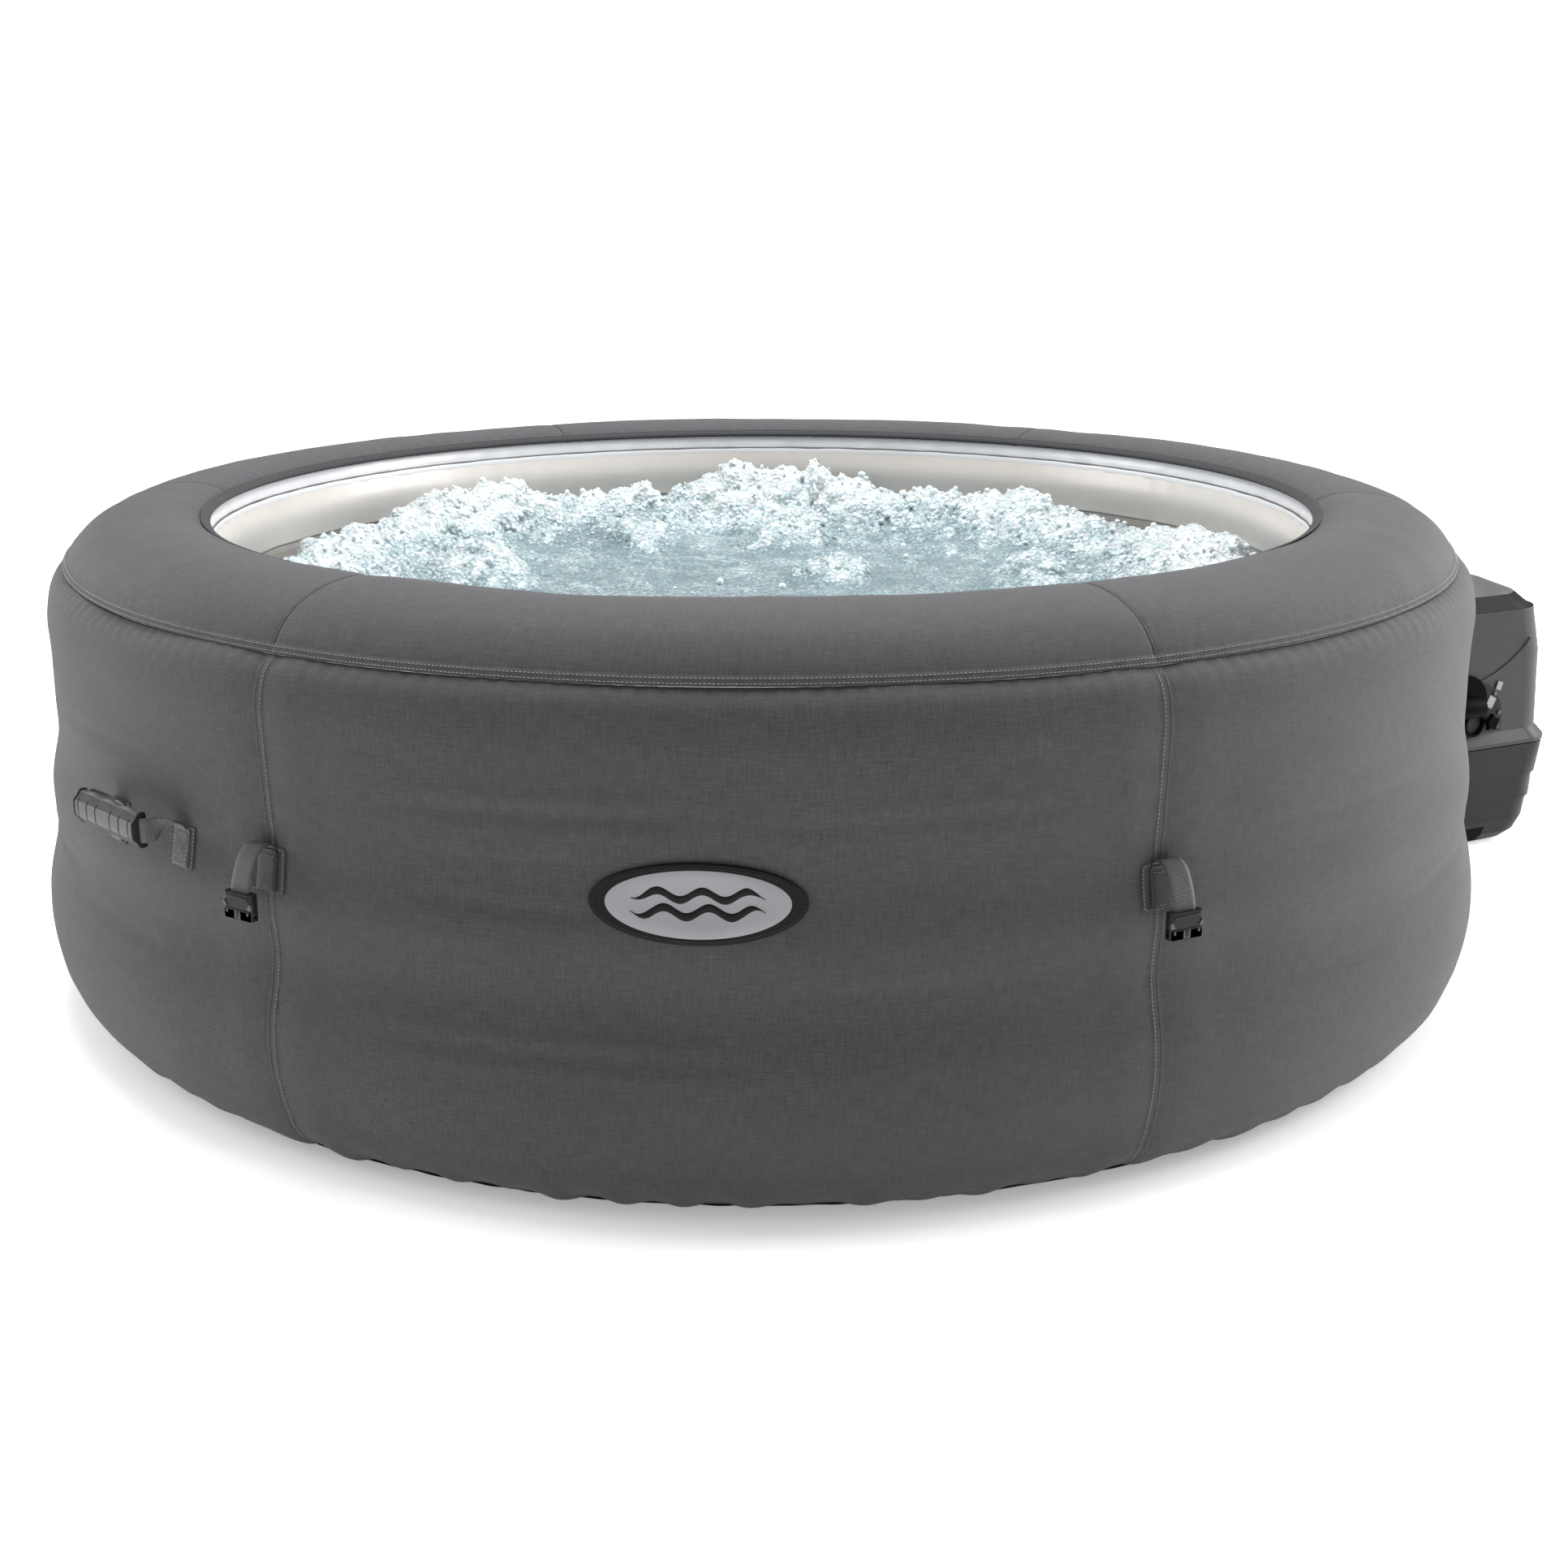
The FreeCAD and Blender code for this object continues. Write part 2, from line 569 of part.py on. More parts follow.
def make_drain():
    z = DRAIN_Z
    pipe = rod(16, local(0, PIPE_START + 4, z), local(0, 980, z))
    inner_flange = rod(26, local(0, PIPE_START, z), local(0, PIPE_START + 8, z))
    outer_flange = rod(25, local(0, 966, z), local(0, 969.5, z))
    bore = rod(12, local(0, PIPE_START - 1, z), local(0, 981, z))
    save("drain_pipe", turn(fused([pipe, inner_flange, outer_flange]).cut(bore), DRAIN_AZIMUTH))
    save("drain_cap", turn(ribbed_cap(21, 16.4, (970.2, 984), 3.0, z), DRAIN_AZIMUTH))


# ---- control base --------------------------------------------------------------------------------
def base_outline(z, half_width, outer_radius, inset):
    """One horizontal section of the control base."""
    inner = BASE_INNER_RADIUS + inset
    outer = outer_radius - inset
    corner = BASE_CORNER - inset
    middle = (inner + outer) / 2
    return rounded_wire(2 * (half_width - inset), outer - inner, corner,
                        lambda u, v: local(u, middle - v, z))


def roof_height(r):
    slope = (ROOF_BACK[1] - ROOF_FRONT[1]) / (ROOF_FRONT[0] - ROOF_BACK[0])
    return ROOF_FRONT[1] + slope * (ROOF_FRONT[0] - r)


def roof_outline(inset):
    inner, outer = ROOF_FLAT_SPAN
    middle = (inner + outer) / 2
    return rounded_wire(2 * (ROOF_FLAT_HALF_WIDTH - inset), outer - inner - 2 * inset, ROOF_FLAT_CORNER - inset,
                        lambda u, v: local(u, middle - v, roof_height(middle - v) - inset))


def roof_lofts(inset):
    """The band below the roof's edge, and the roof's sloping rim above it."""
    start = base_outline(*ROOF_START, inset)
    edge = base_outline(ROOF_EDGE[0] - inset, ROOF_EDGE[1], ROOF_EDGE[2], inset)
    return [Part.makeLoft([start, edge], True, True), Part.makeLoft([edge, roof_outline(inset)], True, True)]


def stacked(sections, inset):
    """Ruled blocks between neighbouring sections; a jump between two stacks leaves a moulded step."""
    blocks = []
    for stack in sections:
        for low, high in zip(stack, stack[1:]):
            wires = [base_outline(*low, inset), base_outline(*high, inset)]
            blocks.append(Part.makeLoft(wires, True, True))
    return blocks


def base_holes():
    cutters = []
    for side in (-1, 1):
        cutters.append(rod(WATER_PIPE_RADIUS + PIPE_HOLE_CLEARANCE, *water_pipe_ends(side)))
    cutters.append(rod(AIR_PIPE_RADIUS + PIPE_HOLE_CLEARANCE, *air_pipe_ends()))
    return cutters


def crease():
    """A raised style line on the side of the housing, at azimuth 0 on the -t side."""
    low = [local(-BASE_INNER_RADIUS, r, z) for r, z in CREASE_POINTS]
    high = [point + V(0, 0, CREASE_WIDTH) for point in low]
    edges = [Part.Arc(*low).toShape(), Part.makeLine(low[2], high[2]),
             Part.Arc(*high).toShape(), Part.makeLine(high[0], low[0])]
    prism = Part.Face(Part.Wire(Part.__sortEdges__(edges))).extrude(V(BASE_INNER_RADIUS, 0, 0))
    return prism


def make_lower_shell():
    outside = fused(stacked(LOWER_SECTIONS, 0.0))
    top = LOWER_SECTIONS[-1][-1]
    cavity = Part.makeLoft([base_outline(TRAY_FLOOR_Z, 186, 1355, SHELL_THICKNESS),
                            base_outline(top[0] + 1, 196, 1364, SHELL_THICKNESS)], True, True)
    far = 400.0
    arches = [block((-far, far), FOOT_SPAN, (-1, ARCH_HEIGHT)),
              block((-FOOT_HALF_WIDTH, FOOT_HALF_WIDTH), (900, 1500), (-1, ARCH_HEIGHT))]
    save("base_lower_shell", turn(outside.cut([cavity] + arches + base_holes()), BASE_AZIMUTH))


def make_upper_shell():
    body = stacked(UPPER_SECTIONS, 0.0)
    wider = stacked([[(z, half + CREASE_DEPTH, r + CREASE_DEPTH) for z, half, r in UPPER_SECTIONS[1]]], 0.0)
    side_line = fused(wider).common(crease())
    outside = fused(body + roof_lofts(0.0) + [side_line, side_line.mirror(ORIGIN, V(1, 0, 0))])
    hall = Part.makeLoft([base_outline(177, 192, 1356, SHELL_THICKNESS),
                          base_outline(*ROOF_START, SHELL_THICKNESS)], True, True)
    cavity = fused([hall] + roof_lofts(SHELL_THICKNESS))
    save("base_upper_shell", turn(outside.cut([cavity] + base_holes()), BASE_AZIMUTH))


def on_roof(shape):
    """Set a shape from the roof's (u, v, n) frame onto the sloping roof of the control base."""
    slope = math.degrees(math.atan2(ROOF_BACK[1] - ROOF_FRONT[1], ROOF_FRONT[0] - ROOF_BACK[0]))
    placed = shape.copy()
    placed.rotate(ORIGIN, V(1, 0, 0), slope)
    placed.translate(local(0, PANEL_RADIUS, roof_height(PANEL_RADIUS)))
    return turn(placed, BASE_AZIMUTH)


def roof_plate(size, corner, u, v, low, high):
    wire = rounded_wire(size[0], size[1], corner, lambda a, b: V(u + a, v + b, low))
    return Part.Face(wire).extrude(UP * (high - low))


def make_control_panel():
    top = PANEL_LIFT + PANEL_THICKNESS
    panel = roof_plate(PANEL_SIZE, PANEL_CORNER, 0, 0, PANEL_LIFT, top)
    recess = roof_plate(WINDOW_SIZE, WINDOW_CORNER, 0, WINDOW_V, top - WINDOW_DEPTH, top + 1)
    window_size = (WINDOW_SIZE[0] - 2 * LAYER_GAP, WINDOW_SIZE[1] - 2 * LAYER_GAP)
    window = roof_plate(window_size, WINDOW_CORNER - LAYER_GAP, 0, WINDOW_V,
                        top - WINDOW_DEPTH, top + LAYER_GAP)
    cutters = [recess]
    first = -BUTTON_PITCH * (len(BUTTON_NAMES) - 1) / 2
    for index, name in enumerate(BUTTON_NAMES):
        u = first + index * BUTTON_PITCH
        foot = V(u, BUTTON_V, BUTTON_BOTTOM)
        button = Part.makeCylinder(BUTTON_RADIUS, BUTTON_TOP - BUTTON_BOTTOM, foot)
        rim = [edge for edge in button.Edges if edge.BoundBox.ZMin > BUTTON_TOP - 0.01]
        save("button_" + name, on_roof(button.makeFillet(BUTTON_EDGE, rim)))
        cutters.append(Part.makeCylinder(BUTTON_RADIUS + BUTTON_CLEARANCE, 20, V(u, BUTTON_V, -5)))
    save("control_panel", on_roof(panel.cut(cutters)))
    save("display_window", on_roof(window))


# ---- side fittings of the control base -----------------------------------------------------------
def side_rod(radius, centre, near, far):
    """A disc on the -t side face, from one distance off the middle plane to another."""
    return rod(radius, local(-near, centre[0], centre[1]), local(-far, centre[0], centre[1]))


def side_plate(wire, thickness):
    return Part.Face(wire).extrude(V(-thickness, 0, 0))


def make_service_panel():
    left = SERVICE_PANEL_CENTRE - SERVICE_PANEL_HALF_WIDTH
    right = SERVICE_PANEL_CENTRE + SERVICE_PANEL_HALF_WIDTH
    crown = SERVICE_PANEL_SHOULDER + SERVICE_PANEL_HALF_WIDTH
    corners = [local(-SIDE_FACE, left, SERVICE_PANEL_SHOULDER), local(-SIDE_FACE, left, SERVICE_PANEL_BOTTOM),
               local(-SIDE_FACE, right, SERVICE_PANEL_BOTTOM), local(-SIDE_FACE, right, SERVICE_PANEL_SHOULDER)]
    sides = [Part.makeLine(a, b) for a, b in zip(corners, corners[1:])]
    arch = Part.Arc(corners[3], local(-SIDE_FACE, SERVICE_PANEL_CENTRE, crown), corners[0]).toShape()
    plate = side_plate(Part.Wire(sides + [arch]), SERVICE_PANEL_THICKNESS)
    save("service_panel", turn(plate, BASE_AZIMUTH))
    heads = [side_rod(SCREW_HEAD_RADIUS, centre, SIDE_LAYER, SIDE_LAYER + SCREW_HEAD_HEIGHT)
             for centre in SCREW_POINTS]
    save("base_screws", [turn(head, BASE_AZIMUTH) for head in heads])


def make_side_ports():
    port = side_rod(PORT_RADIUS, PORT_CENTRE, SIDE_LAYER, SIDE_LAYER + PORT_DEPTH)
    bore = side_rod(PORT_BORE_RADIUS, PORT_CENTRE, SIDE_LAYER - 1, SIDE_LAYER + PORT_DEPTH + 1)
    save("side_port_ring", turn(port.cut(bore), BASE_AZIMUTH))
    near = SIDE_LAYER + PORT_DEPTH + 0.6
    hub = side_rod(KNOB_HUB_RADIUS, KNOB_CENTRE, near, near + 8)
    fins = []
    for index in range(KNOB_FIN_COUNT):
        fin = block((-near - 6, -near), (KNOB_CENTRE[0] - KNOB_FIN_WIDTH / 2, KNOB_CENTRE[0] + KNOB_FIN_WIDTH / 2),
                    (KNOB_CENTRE[1], KNOB_CENTRE[1] + KNOB_FIN_RADIUS))
        fin.rotate(local(0, *KNOB_CENTRE), V(1, 0, 0), 360.0 * index / KNOB_FIN_COUNT)
        fins.append(fin)
    save("vent_knob", turn(fused([hub] + fins), BASE_AZIMUTH))
    centre_z = HOOD_CENTRE[1]
    hood = side_rod(HOOD_RADIUS, HOOD_CENTRE, SIDE_LAYER, SIDE_LAYER + HOOD_THICKNESS)
    hood = hood.common(block((-300, 0), (1000, 1400), (centre_z, centre_z + 200)))
    drum_t = -(SIDE_LAYER + DRUM_OFFSET)
    drum = rod(DRUM_RADIUS, local(drum_t, DRUM_SPAN[0], centre_z), local(drum_t, DRUM_SPAN[1], centre_z))
    bridge = block((drum_t, -SIDE_LAYER), DRUM_SPAN, (centre_z, centre_z + 8))
    save("hose_outlet", turn(fused([hood, drum, bridge]), BASE_AZIMUTH))
    tags = []
    for (r, z), (width, height), lean, face in TAGS:
        wire = rounded_wire(width, height, 1.0, lambda u, v: local(-face, r + u, z + v))
        tag = side_plate(wire, TAG_THICKNESS)
        tag.rotate(local(0, r, z), V(1, 0, 0), lean)
        tags.append(turn(tag, BASE_AZIMUTH))
    save("port_tags", tags)


# ---- what joins the tub and the control base, and what is inside it ------------------------------
def make_pipes():
    start, end = air_pipe_ends()
    pipes = [tube(AIR_PIPE_RADIUS, AIR_PIPE_RADIUS - PIPE_WALL, start, end)]
    strainers = []
    wall_core = Part.makeCylinder(min(r for r, z in INNER_WALL_OUTLINE) - FITTING_FLANGE_GAP, 600.0)
    for side in (-1, 1):
        start, end = water_pipe_ends(side)
        bore = rod(WATER_PIPE_RADIUS - PIPE_WALL, start + V(0, 20, 0), end)
        flange = rod(FITTING_FLANGE_RADIUS, start, start - V(0, 15, 0)).common(wall_core)
        body = fused([rod(WATER_PIPE_RADIUS, start, end), flange])
        pipes.append(body.cut(bore))
        offset = side * WATER_PIPE_OFFSET
        disc = rod(STRAINER_RADIUS, local(offset, STRAINER_SPAN[0], WATER_PIPE_Z),
                   local(offset, STRAINER_SPAN[1], WATER_PIPE_Z))
        first = offset - STRAINER_SLOT_PITCH * (STRAINER_SLOT_COUNT - 1) / 2
        slots = []
        for index in range(STRAINER_SLOT_COUNT):
            t = first + index * STRAINER_SLOT_PITCH
            slots.append(block((t - STRAINER_SLOT[0] / 2, t + STRAINER_SLOT[0] / 2), (700, 760),
                               (WATER_PIPE_Z - STRAINER_SLOT[1] / 2, WATER_PIPE_Z + STRAINER_SLOT[1] / 2)))
        rim = tube(12, 8, local(offset, STRAINER_SPAN[1], WATER_PIPE_Z),
                   local(offset, PIPE_START, WATER_PIPE_Z))
        strainers.append(fused([disc.cut(slots), rim]))
    save("wall_fittings", [turn(pipe, BASE_AZIMUTH) for pipe in pipes])
    save("strainers", [turn(strainer, BASE_AZIMUTH) for strainer in strainers])


def make_nuts():
    for name, side in (("inlet", -1), ("outlet", 1)):
        offset = side * WATER_PIPE_OFFSET
        start = local(offset, NUT_SPAN[0], WATER_PIPE_Z)
        end = local(offset, NUT_SPAN[1], WATER_PIPE_Z)
        nut = tube(NUT_RADIUS, WATER_PIPE_RADIUS + NUT_BORE_CLEARANCE, start, end)
        grooves = []
        for index in range(NUT_GRIP_COUNT):
            angle = 2 * math.pi * index / NUT_GRIP_COUNT
            shift = V(NUT_RADIUS * math.cos(angle), 0, NUT_RADIUS * math.sin(angle))
            grooves.append(rod(4.0, start + shift, end + shift))
        save("coupling_nut_" + name, turn(nut.cut(grooves), BASE_AZIMUTH))


def make_internals():
    motor = rod(45, local(-100, 1110, 100), local(-100, 1210, 100))
    volute = rod(52, local(-100, 1080, 100), local(-100, 1110, 100))
    outlet = rod(14, local(-100, 1095, 150), local(-100, 1095, 165))
    save("pump_unit", turn(fused([motor, volute, outlet]), BASE_AZIMUTH))
    barrel = rod(26, local(-110, 1290, 90), local(110, 1290, 90))
    collars = [rod(30, local(t, 1290, 90), local(t + 10, 1290, 90)) for t in (-112, 102)]
    save("heater_unit", turn(fused([barrel] + collars), BASE_AZIMUTH))
    drum = Part.makeCylinder(68, 95, local(80, 1190, 230))
    spout = rod(20, local(80, 1130, 275), local(80, 1090, 275))
    save("air_blower", turn(fused([drum, spout]), BASE_AZIMUTH))
    pleats = Part.makeCylinder(50, 110, local(90, 1150, 50))
    core = Part.makeCylinder(22, 112, local(90, 1150, 49))
    save("filter_cartridge", turn(pleats.cut(core), BASE_AZIMUTH))


make_cover()
make_badge()
make_chamber()
make_pool_floor()
make_patches()
make_straps()
make_handles()
make_air_valve()
make_drain()
make_lower_shell()
make_upper_shell()
make_control_panel()
make_service_panel()
make_side_ports()
make_pipes()
make_nuts()
make_internals()
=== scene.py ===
"""Looks of an inflatable hot tub: fabric cover, air chamber, bubbling water and control base.

Lengths are metres and azimuths are degrees from -Y, where the badge is, towards +X. A point beside the wall
is (t, r, z) at azimuth 0: t along the wall, r out from the tub's axis and z up. Outlines, paths and sizes
that the CAD source also has are repeated here with the same names.
"""
import math

import bmesh
import bpy
import numpy as np
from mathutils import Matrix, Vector, noise


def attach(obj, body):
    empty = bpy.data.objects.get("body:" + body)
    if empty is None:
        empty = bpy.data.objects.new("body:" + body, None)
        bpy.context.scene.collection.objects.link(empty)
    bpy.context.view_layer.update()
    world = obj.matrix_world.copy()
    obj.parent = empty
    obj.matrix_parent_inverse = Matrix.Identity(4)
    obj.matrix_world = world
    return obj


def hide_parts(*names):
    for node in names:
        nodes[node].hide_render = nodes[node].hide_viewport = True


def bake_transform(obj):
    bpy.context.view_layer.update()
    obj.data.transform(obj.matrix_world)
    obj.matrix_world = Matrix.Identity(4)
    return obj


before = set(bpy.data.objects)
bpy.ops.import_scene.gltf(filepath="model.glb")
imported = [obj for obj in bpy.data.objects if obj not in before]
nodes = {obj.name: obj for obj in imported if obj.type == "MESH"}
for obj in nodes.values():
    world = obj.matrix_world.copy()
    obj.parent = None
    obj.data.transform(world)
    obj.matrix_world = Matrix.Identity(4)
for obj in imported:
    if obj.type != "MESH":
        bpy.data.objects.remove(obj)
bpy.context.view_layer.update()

# ---- sizes shared with the CAD source ------------------------------------------------------------
WALL_OUTLINE = [(0.922, 0.0028), (0.945, 0.028), (0.964, 0.080), (0.975, 0.130), (0.976, 0.170),
                (0.963, 0.253), (0.970, 0.320), (0.965, 0.377), (0.971, 0.440), (0.977, 0.505),
                (0.9775, 0.545), (0.968, 0.577), (0.952, 0.594)]
RIM_OUTLINE = [(0.952, 0.5948), (0.939, 0.616), (0.916, 0.637), (0.885, 0.651), (0.850, 0.6585),
               (0.815, 0.6597), (0.785, 0.6525), (0.763, 0.640)]
INNER_WALL_OUTLINE = [(0.7635, 0.617), (0.756, 0.585), (0.761, 0.541), (0.750, 0.470), (0.748, 0.380),
                      (0.756, 0.300), (0.748, 0.210), (0.748, 0.110), (0.752, 0.030), (0.754, 0.006)]
BAND_LOWER_EDGE = [(0.767, 0.634), (0.7642, 0.626), (0.7638, 0.6185)]
PANEL_COUNT = 6
PANEL_ANGLE = 360.0 / PANEL_COUNT
FIRST_SEAM = -30.0
BADGE_HEIGHT = 0.370
BADGE_BACKING_SIZE = (0.228, 0.088)
BADGE_FACE_SIZE = (0.193, 0.074)
STRAP_PATCH_SIZE = (0.050, 0.052)
STRAP_PATCH_Z = 0.356
STRAP_AZIMUTHS = (-30.0, 30.0, 150.0, 210.0)
STRAP_WIDTH = 0.029
STRAP_THICKNESS = 0.0016
STRAP_PATH = [(0.9754, 0.3816), (0.9806, 0.3870), (0.9902, 0.3878), (1.0005, 0.3812), (1.0091, 0.3675),
              (1.0147, 0.3534), (1.0172, 0.3422), (1.0173, 0.3340)]
BUCKLE_CENTRE_RADIUS = 1.0173
BUCKLE_SIZE = (0.042, 0.012, 0.030)
BUCKLE_BOTTOM_Z = 0.311
SIDES = ((-1, "left"), (1, "right"))
HANDLE_AZIMUTHS = (-42.8, 137.2)
HANDLE_PATCH_OFFSET = 0.071
HANDLE_PATCH_SIZE = (0.046, 0.050)
HANDLE_PATCH_Z = 0.355
GRIP_LENGTH = 0.142
GRIP_GROOVE_OFFSETS = (0.017, 0.038, 0.059)
GRIP_RADIUS = 1.025
GRIP_Z = 0.383
TAIL_TOP_Z = 0.3785
LOOP_WIDTH = 0.030
LOOP_THICKNESS = 0.0018
BASE_AZIMUTH = 120.0
HOUSING_SIDE_TOP = 0.398
HOUSING_BAND_TOP = 0.425
DRAIN_AZIMUTH = 200.0

# ---- sizes of the looks --------------------------------------------------------------------------
WALL_RADIUS = 0.968
RIM_RADIUS = 0.860
GRID_STEP = 0.005
FABRIC_THICKNESS = 0.0018
THREAD_PITCH = 0.0025
STITCH_PITCH = 0.0047
STITCH_LENGTH = 0.0036
STITCH_RADIUS = 0.0005
SEAM_FLAP = 0.0085
SEAM_LIFT = 0.0007
SEAM_LAP = 0.0016
# The fabric dips no further than this below its outline, so that it stays clear of the chamber.
DEEPEST = -0.0023
PATCH_RADIUS = 0.9703
BAND_INSET = 0.0034
BINDING_RADIUS = 0.77
HEM_RADIUS = 0.9215
HEM_WIDTH = 0.0715
RIB_PITCH = 0.0021
RIB_DEPTH = 0.00034
ROOM_LIGHT = 0.42
# The floor glows, least right round the tub, where the lower glow paints its shadow.
FLOOR_GLOW_NEAR = 0.31
FLOOR_GLOW_MIDDLE = 0.6
FLOOR_GLOW_FAR = 0.85


# ---- lines and surfaces --------------------------------------------------------------------------
def smooth_line(points, samples):
    """A smooth line through points, at evenly spaced distances along it."""
    corners = np.array(points, float)
    chord = np.concatenate([[0.0], np.cumsum(np.linalg.norm(np.diff(corners, axis=0), axis=1))])
    slopes = np.gradient(corners, chord, axis=0)
    fine = np.linspace(0.0, chord[-1], samples * 4)
    span = np.clip(np.searchsorted(chord, fine, side="right") - 1, 0, len(chord) - 2)
    width = (chord[span + 1] - chord[span])[:, None]
    f = (fine - chord[span])[:, None] / width
    line = ((2 * f**3 - 3 * f**2 + 1) * corners[span] + (f**3 - 2 * f**2 + f) * width * slopes[span]
            + (3 * f**2 - 2 * f**3) * corners[span + 1] + (f**3 - f**2) * width * slopes[span + 1])
    along = distances(line)
    return read_line(np.linspace(0.0, along[-1], samples), along, line)


def distances(line):
    steps = np.linalg.norm(np.diff(line, axis=0), axis=1)
    return np.concatenate([[0.0], np.cumsum(steps)])


def read_line(wanted, along, values):
    """The rows of values, given at the distances along, read at the wanted distances."""
    return np.stack([np.interp(wanted, along, values[:, axis]) for axis in range(values.shape[1])], axis=1)


def smoothstep(low, high, value):
    f = np.clip((value - low) / (high - low), 0.0, 1.0)
    return f * f * (3 - 2 * f)


def unit(vectors):
    return vectors / np.linalg.norm(vectors, axis=-1, keepdims=True)


class Outline:
    """A smooth (r, z) outline, read by the distance along it; its normal is on the right-hand side."""

    def __init__(self, points):
        self.line = smooth_line(points, 1200)
        self.along = distances(self.line)
        self.length = self.along[-1]
        tangent = unit(np.gradient(self.line, self.along, axis=0))
        self.normal = np.stack([tangent[:, 1], -tangent[:, 0]], axis=1)

    def read(self, distance, lift=0.0):
        def at(values):
            return np.interp(distance, self.along, values)
        return (at(self.line[:, 0]) + lift * at(self.normal[:, 0]),
                at(self.line[:, 1]) + lift * at(self.normal[:, 1]))

    def distance_at(self, z):
        order = np.argsort(self.line[:, 1])
        return np.interp(z, self.line[order, 1], self.along[order])


WALL = Outline(WALL_OUTLINE)
RIM = Outline(RIM_OUTLINE)


def around(azimuth, r, z):
    angle = np.radians(azimuth)
    return np.stack(np.broadcast_arrays(r * np.sin(angle), -r * np.cos(angle), z), axis=-1)


def turned(points, azimuth):
    """(t, r, z) points at azimuth 0, turned to their azimuth, as (x, y, z)."""
    angle = math.radians(azimuth)
    t, r, z = points[..., 0], points[..., 1], points[..., 2]
    x = t * math.cos(angle) + r * math.sin(angle)
    y = t * math.sin(angle) - r * math.cos(angle)
    return np.stack([x, y, z], axis=-1)


def seam_distance(azimuth, radius):
    """Distance from the nearest seam, and 1 on the panels whose edges lap over it, else 0."""
    past = (azimuth - FIRST_SEAM) % 360.0
    within = past % PANEL_ANGLE
    nearest = np.radians(np.minimum(within, PANEL_ANGLE - within)) * radius
    odd = (past // PANEL_ANGLE) % 2
    return nearest, np.where(nearest < SEAM_LAP * 1.01, 1.0, 1.0 - odd)


def waves(azimuth, height, seed, count, turns, rise, low=1.0):
    """A sum of seeded sine waves round the tub, from -1 to 1 or so."""
    random = np.random.default_rng(seed)
    total = 0.0
    angle = np.radians(azimuth)
    for _ in range(count):
        cycles = int(random.integers(int(low), turns + 1))
        tilt = random.uniform(-rise, rise)
        total = total + np.sin(cycles * angle + tilt * height + random.uniform(0, 2 * math.pi))
    return total / math.sqrt(count)


# Long soft creases in the wall: (middle azimuth, half length in degrees, height, depth, drop per degree).
CREASES = [(-10.0, 14.0, 0.458, 0.0016, -0.0003), (-12.5, 9.0, 0.404, 0.0008, 0.0002),
           (-12.0, 9.0, 0.354, 0.0014, 0.0004), (-9.0, 15.0, 0.194, 0.0017, 0.0001),
           (-19.0, 8.0, 0.300, 0.0006, -0.0003), (14.0, 12.0, 0.455, 0.0009, -0.0004),
           (15.0, 12.0, 0.270, 0.0008, -0.0004), (48.0, 13.0, 0.395, 0.0012, 0.0005),
           (66.0, 12.0, 0.250, 0.0012, -0.0005), (45.0, 10.0, 0.215, 0.0009, 0.0003),
           (-52.0, 12.0, 0.445, 0.0012, -0.0004), (-66.0, 14.0, 0.262, 0.0014, 0.0005),
           (-47.0, 10.0, 0.225, 0.0009, 0.0004), (105.0, 12.0, 0.420, 0.0014, 0.0004),
           (133.0, 12.0, 0.260, 0.0013, -0.0004), (172.0, 14.0, 0.430, 0.0014, 0.0004),
           (196.0, 12.0, 0.255, 0.0013, -0.0005), (228.0, 12.0, 0.415, 0.0012, 0.0005),
           (251.0, 13.0, 0.250, 0.0014, -0.0003)]
CREASE_HALF_WIDTH = 0.0085
# How far the fabric sags out past its outline at each height, as (height, sag). The front and back sag less.
SAG = [(0.0, 0.0), (0.0028, 0.0), (0.010, 0.0100), (0.020, 0.0190), (0.045, 0.0270), (0.080, 0.0312),
       (0.130, 0.0285), (0.170, 0.0262), (0.253, 0.0230), (0.320, 0.0178), (0.377, 0.0125), (0.440, 0.0058),
       (0.490, 0.0008), (0.520, 0.0), (0.600, 0.0)]
FRONT_SAG = 0.42


def wall_relief(azimuth, z):
    """How far the wall's fabric stands out from its outline."""
    aside, laps = seam_distance(azimuth, WALL_RADIUS)
    inside = smoothstep(0.0, 0.10, aside)
    relief = 0.0011 * inside * waves(azimuth, z, 11, 9, 16, 14.0)
    relief = relief + 0.00035 * inside * waves(azimuth, z, 12, 9, 40, 60.0, 16)
    for middle, half, height, depth, drop in CREASES:
        away = (azimuth - middle + 180.0) % 360.0 - 180.0
        taper = smoothstep(half, half * 0.35, np.abs(away))
        above = (z - height + drop * away) / CREASE_HALF_WIDTH
        fold = np.exp(-above**2) - 0.75 * np.exp(-(above - 1.9)**2) - 0.55 * np.exp(-(above + 2.1)**2)
        relief = relief - depth * taper * fold
    pucker = np.sin(z * 2 * math.pi / 0.021 + 2.5 * waves(azimuth, z, 13, 3, 6, 30.0))
    relief = relief + 0.00030 * pucker * np.exp(-aside / 0.016)
    relief = relief - 0.0014 * np.exp(-(aside / 0.020)**2) + 0.0010 * np.exp(-((aside - 0.045) / 0.025)**2)
    flap = 1 - smoothstep(SEAM_FLAP - 0.0006, SEAM_FLAP + 0.0012, aside)
    relief = relief + laps * SEAM_LIFT * flap - (1 - laps) * 0.0003 * flap
    gathers = waves(azimuth, z, 14, 8, 95, 5.0, 40)
    hem = 1 - smoothstep(0.004, 0.055, z)
    relief = relief + 0.0021 * hem**2 * gathers
    tuck = smoothstep(0.583, 0.594, z)
    top_pucker = 0.00035 * np.sin(np.radians(azimuth) * 250 + waves(azimuth, z, 15, 4, 20, 1.0))
    relief = relief - 0.0010 * tuck + top_pucker * smoothstep(0.560, 0.590, z)
    return np.maximum(relief, DEEPEST)


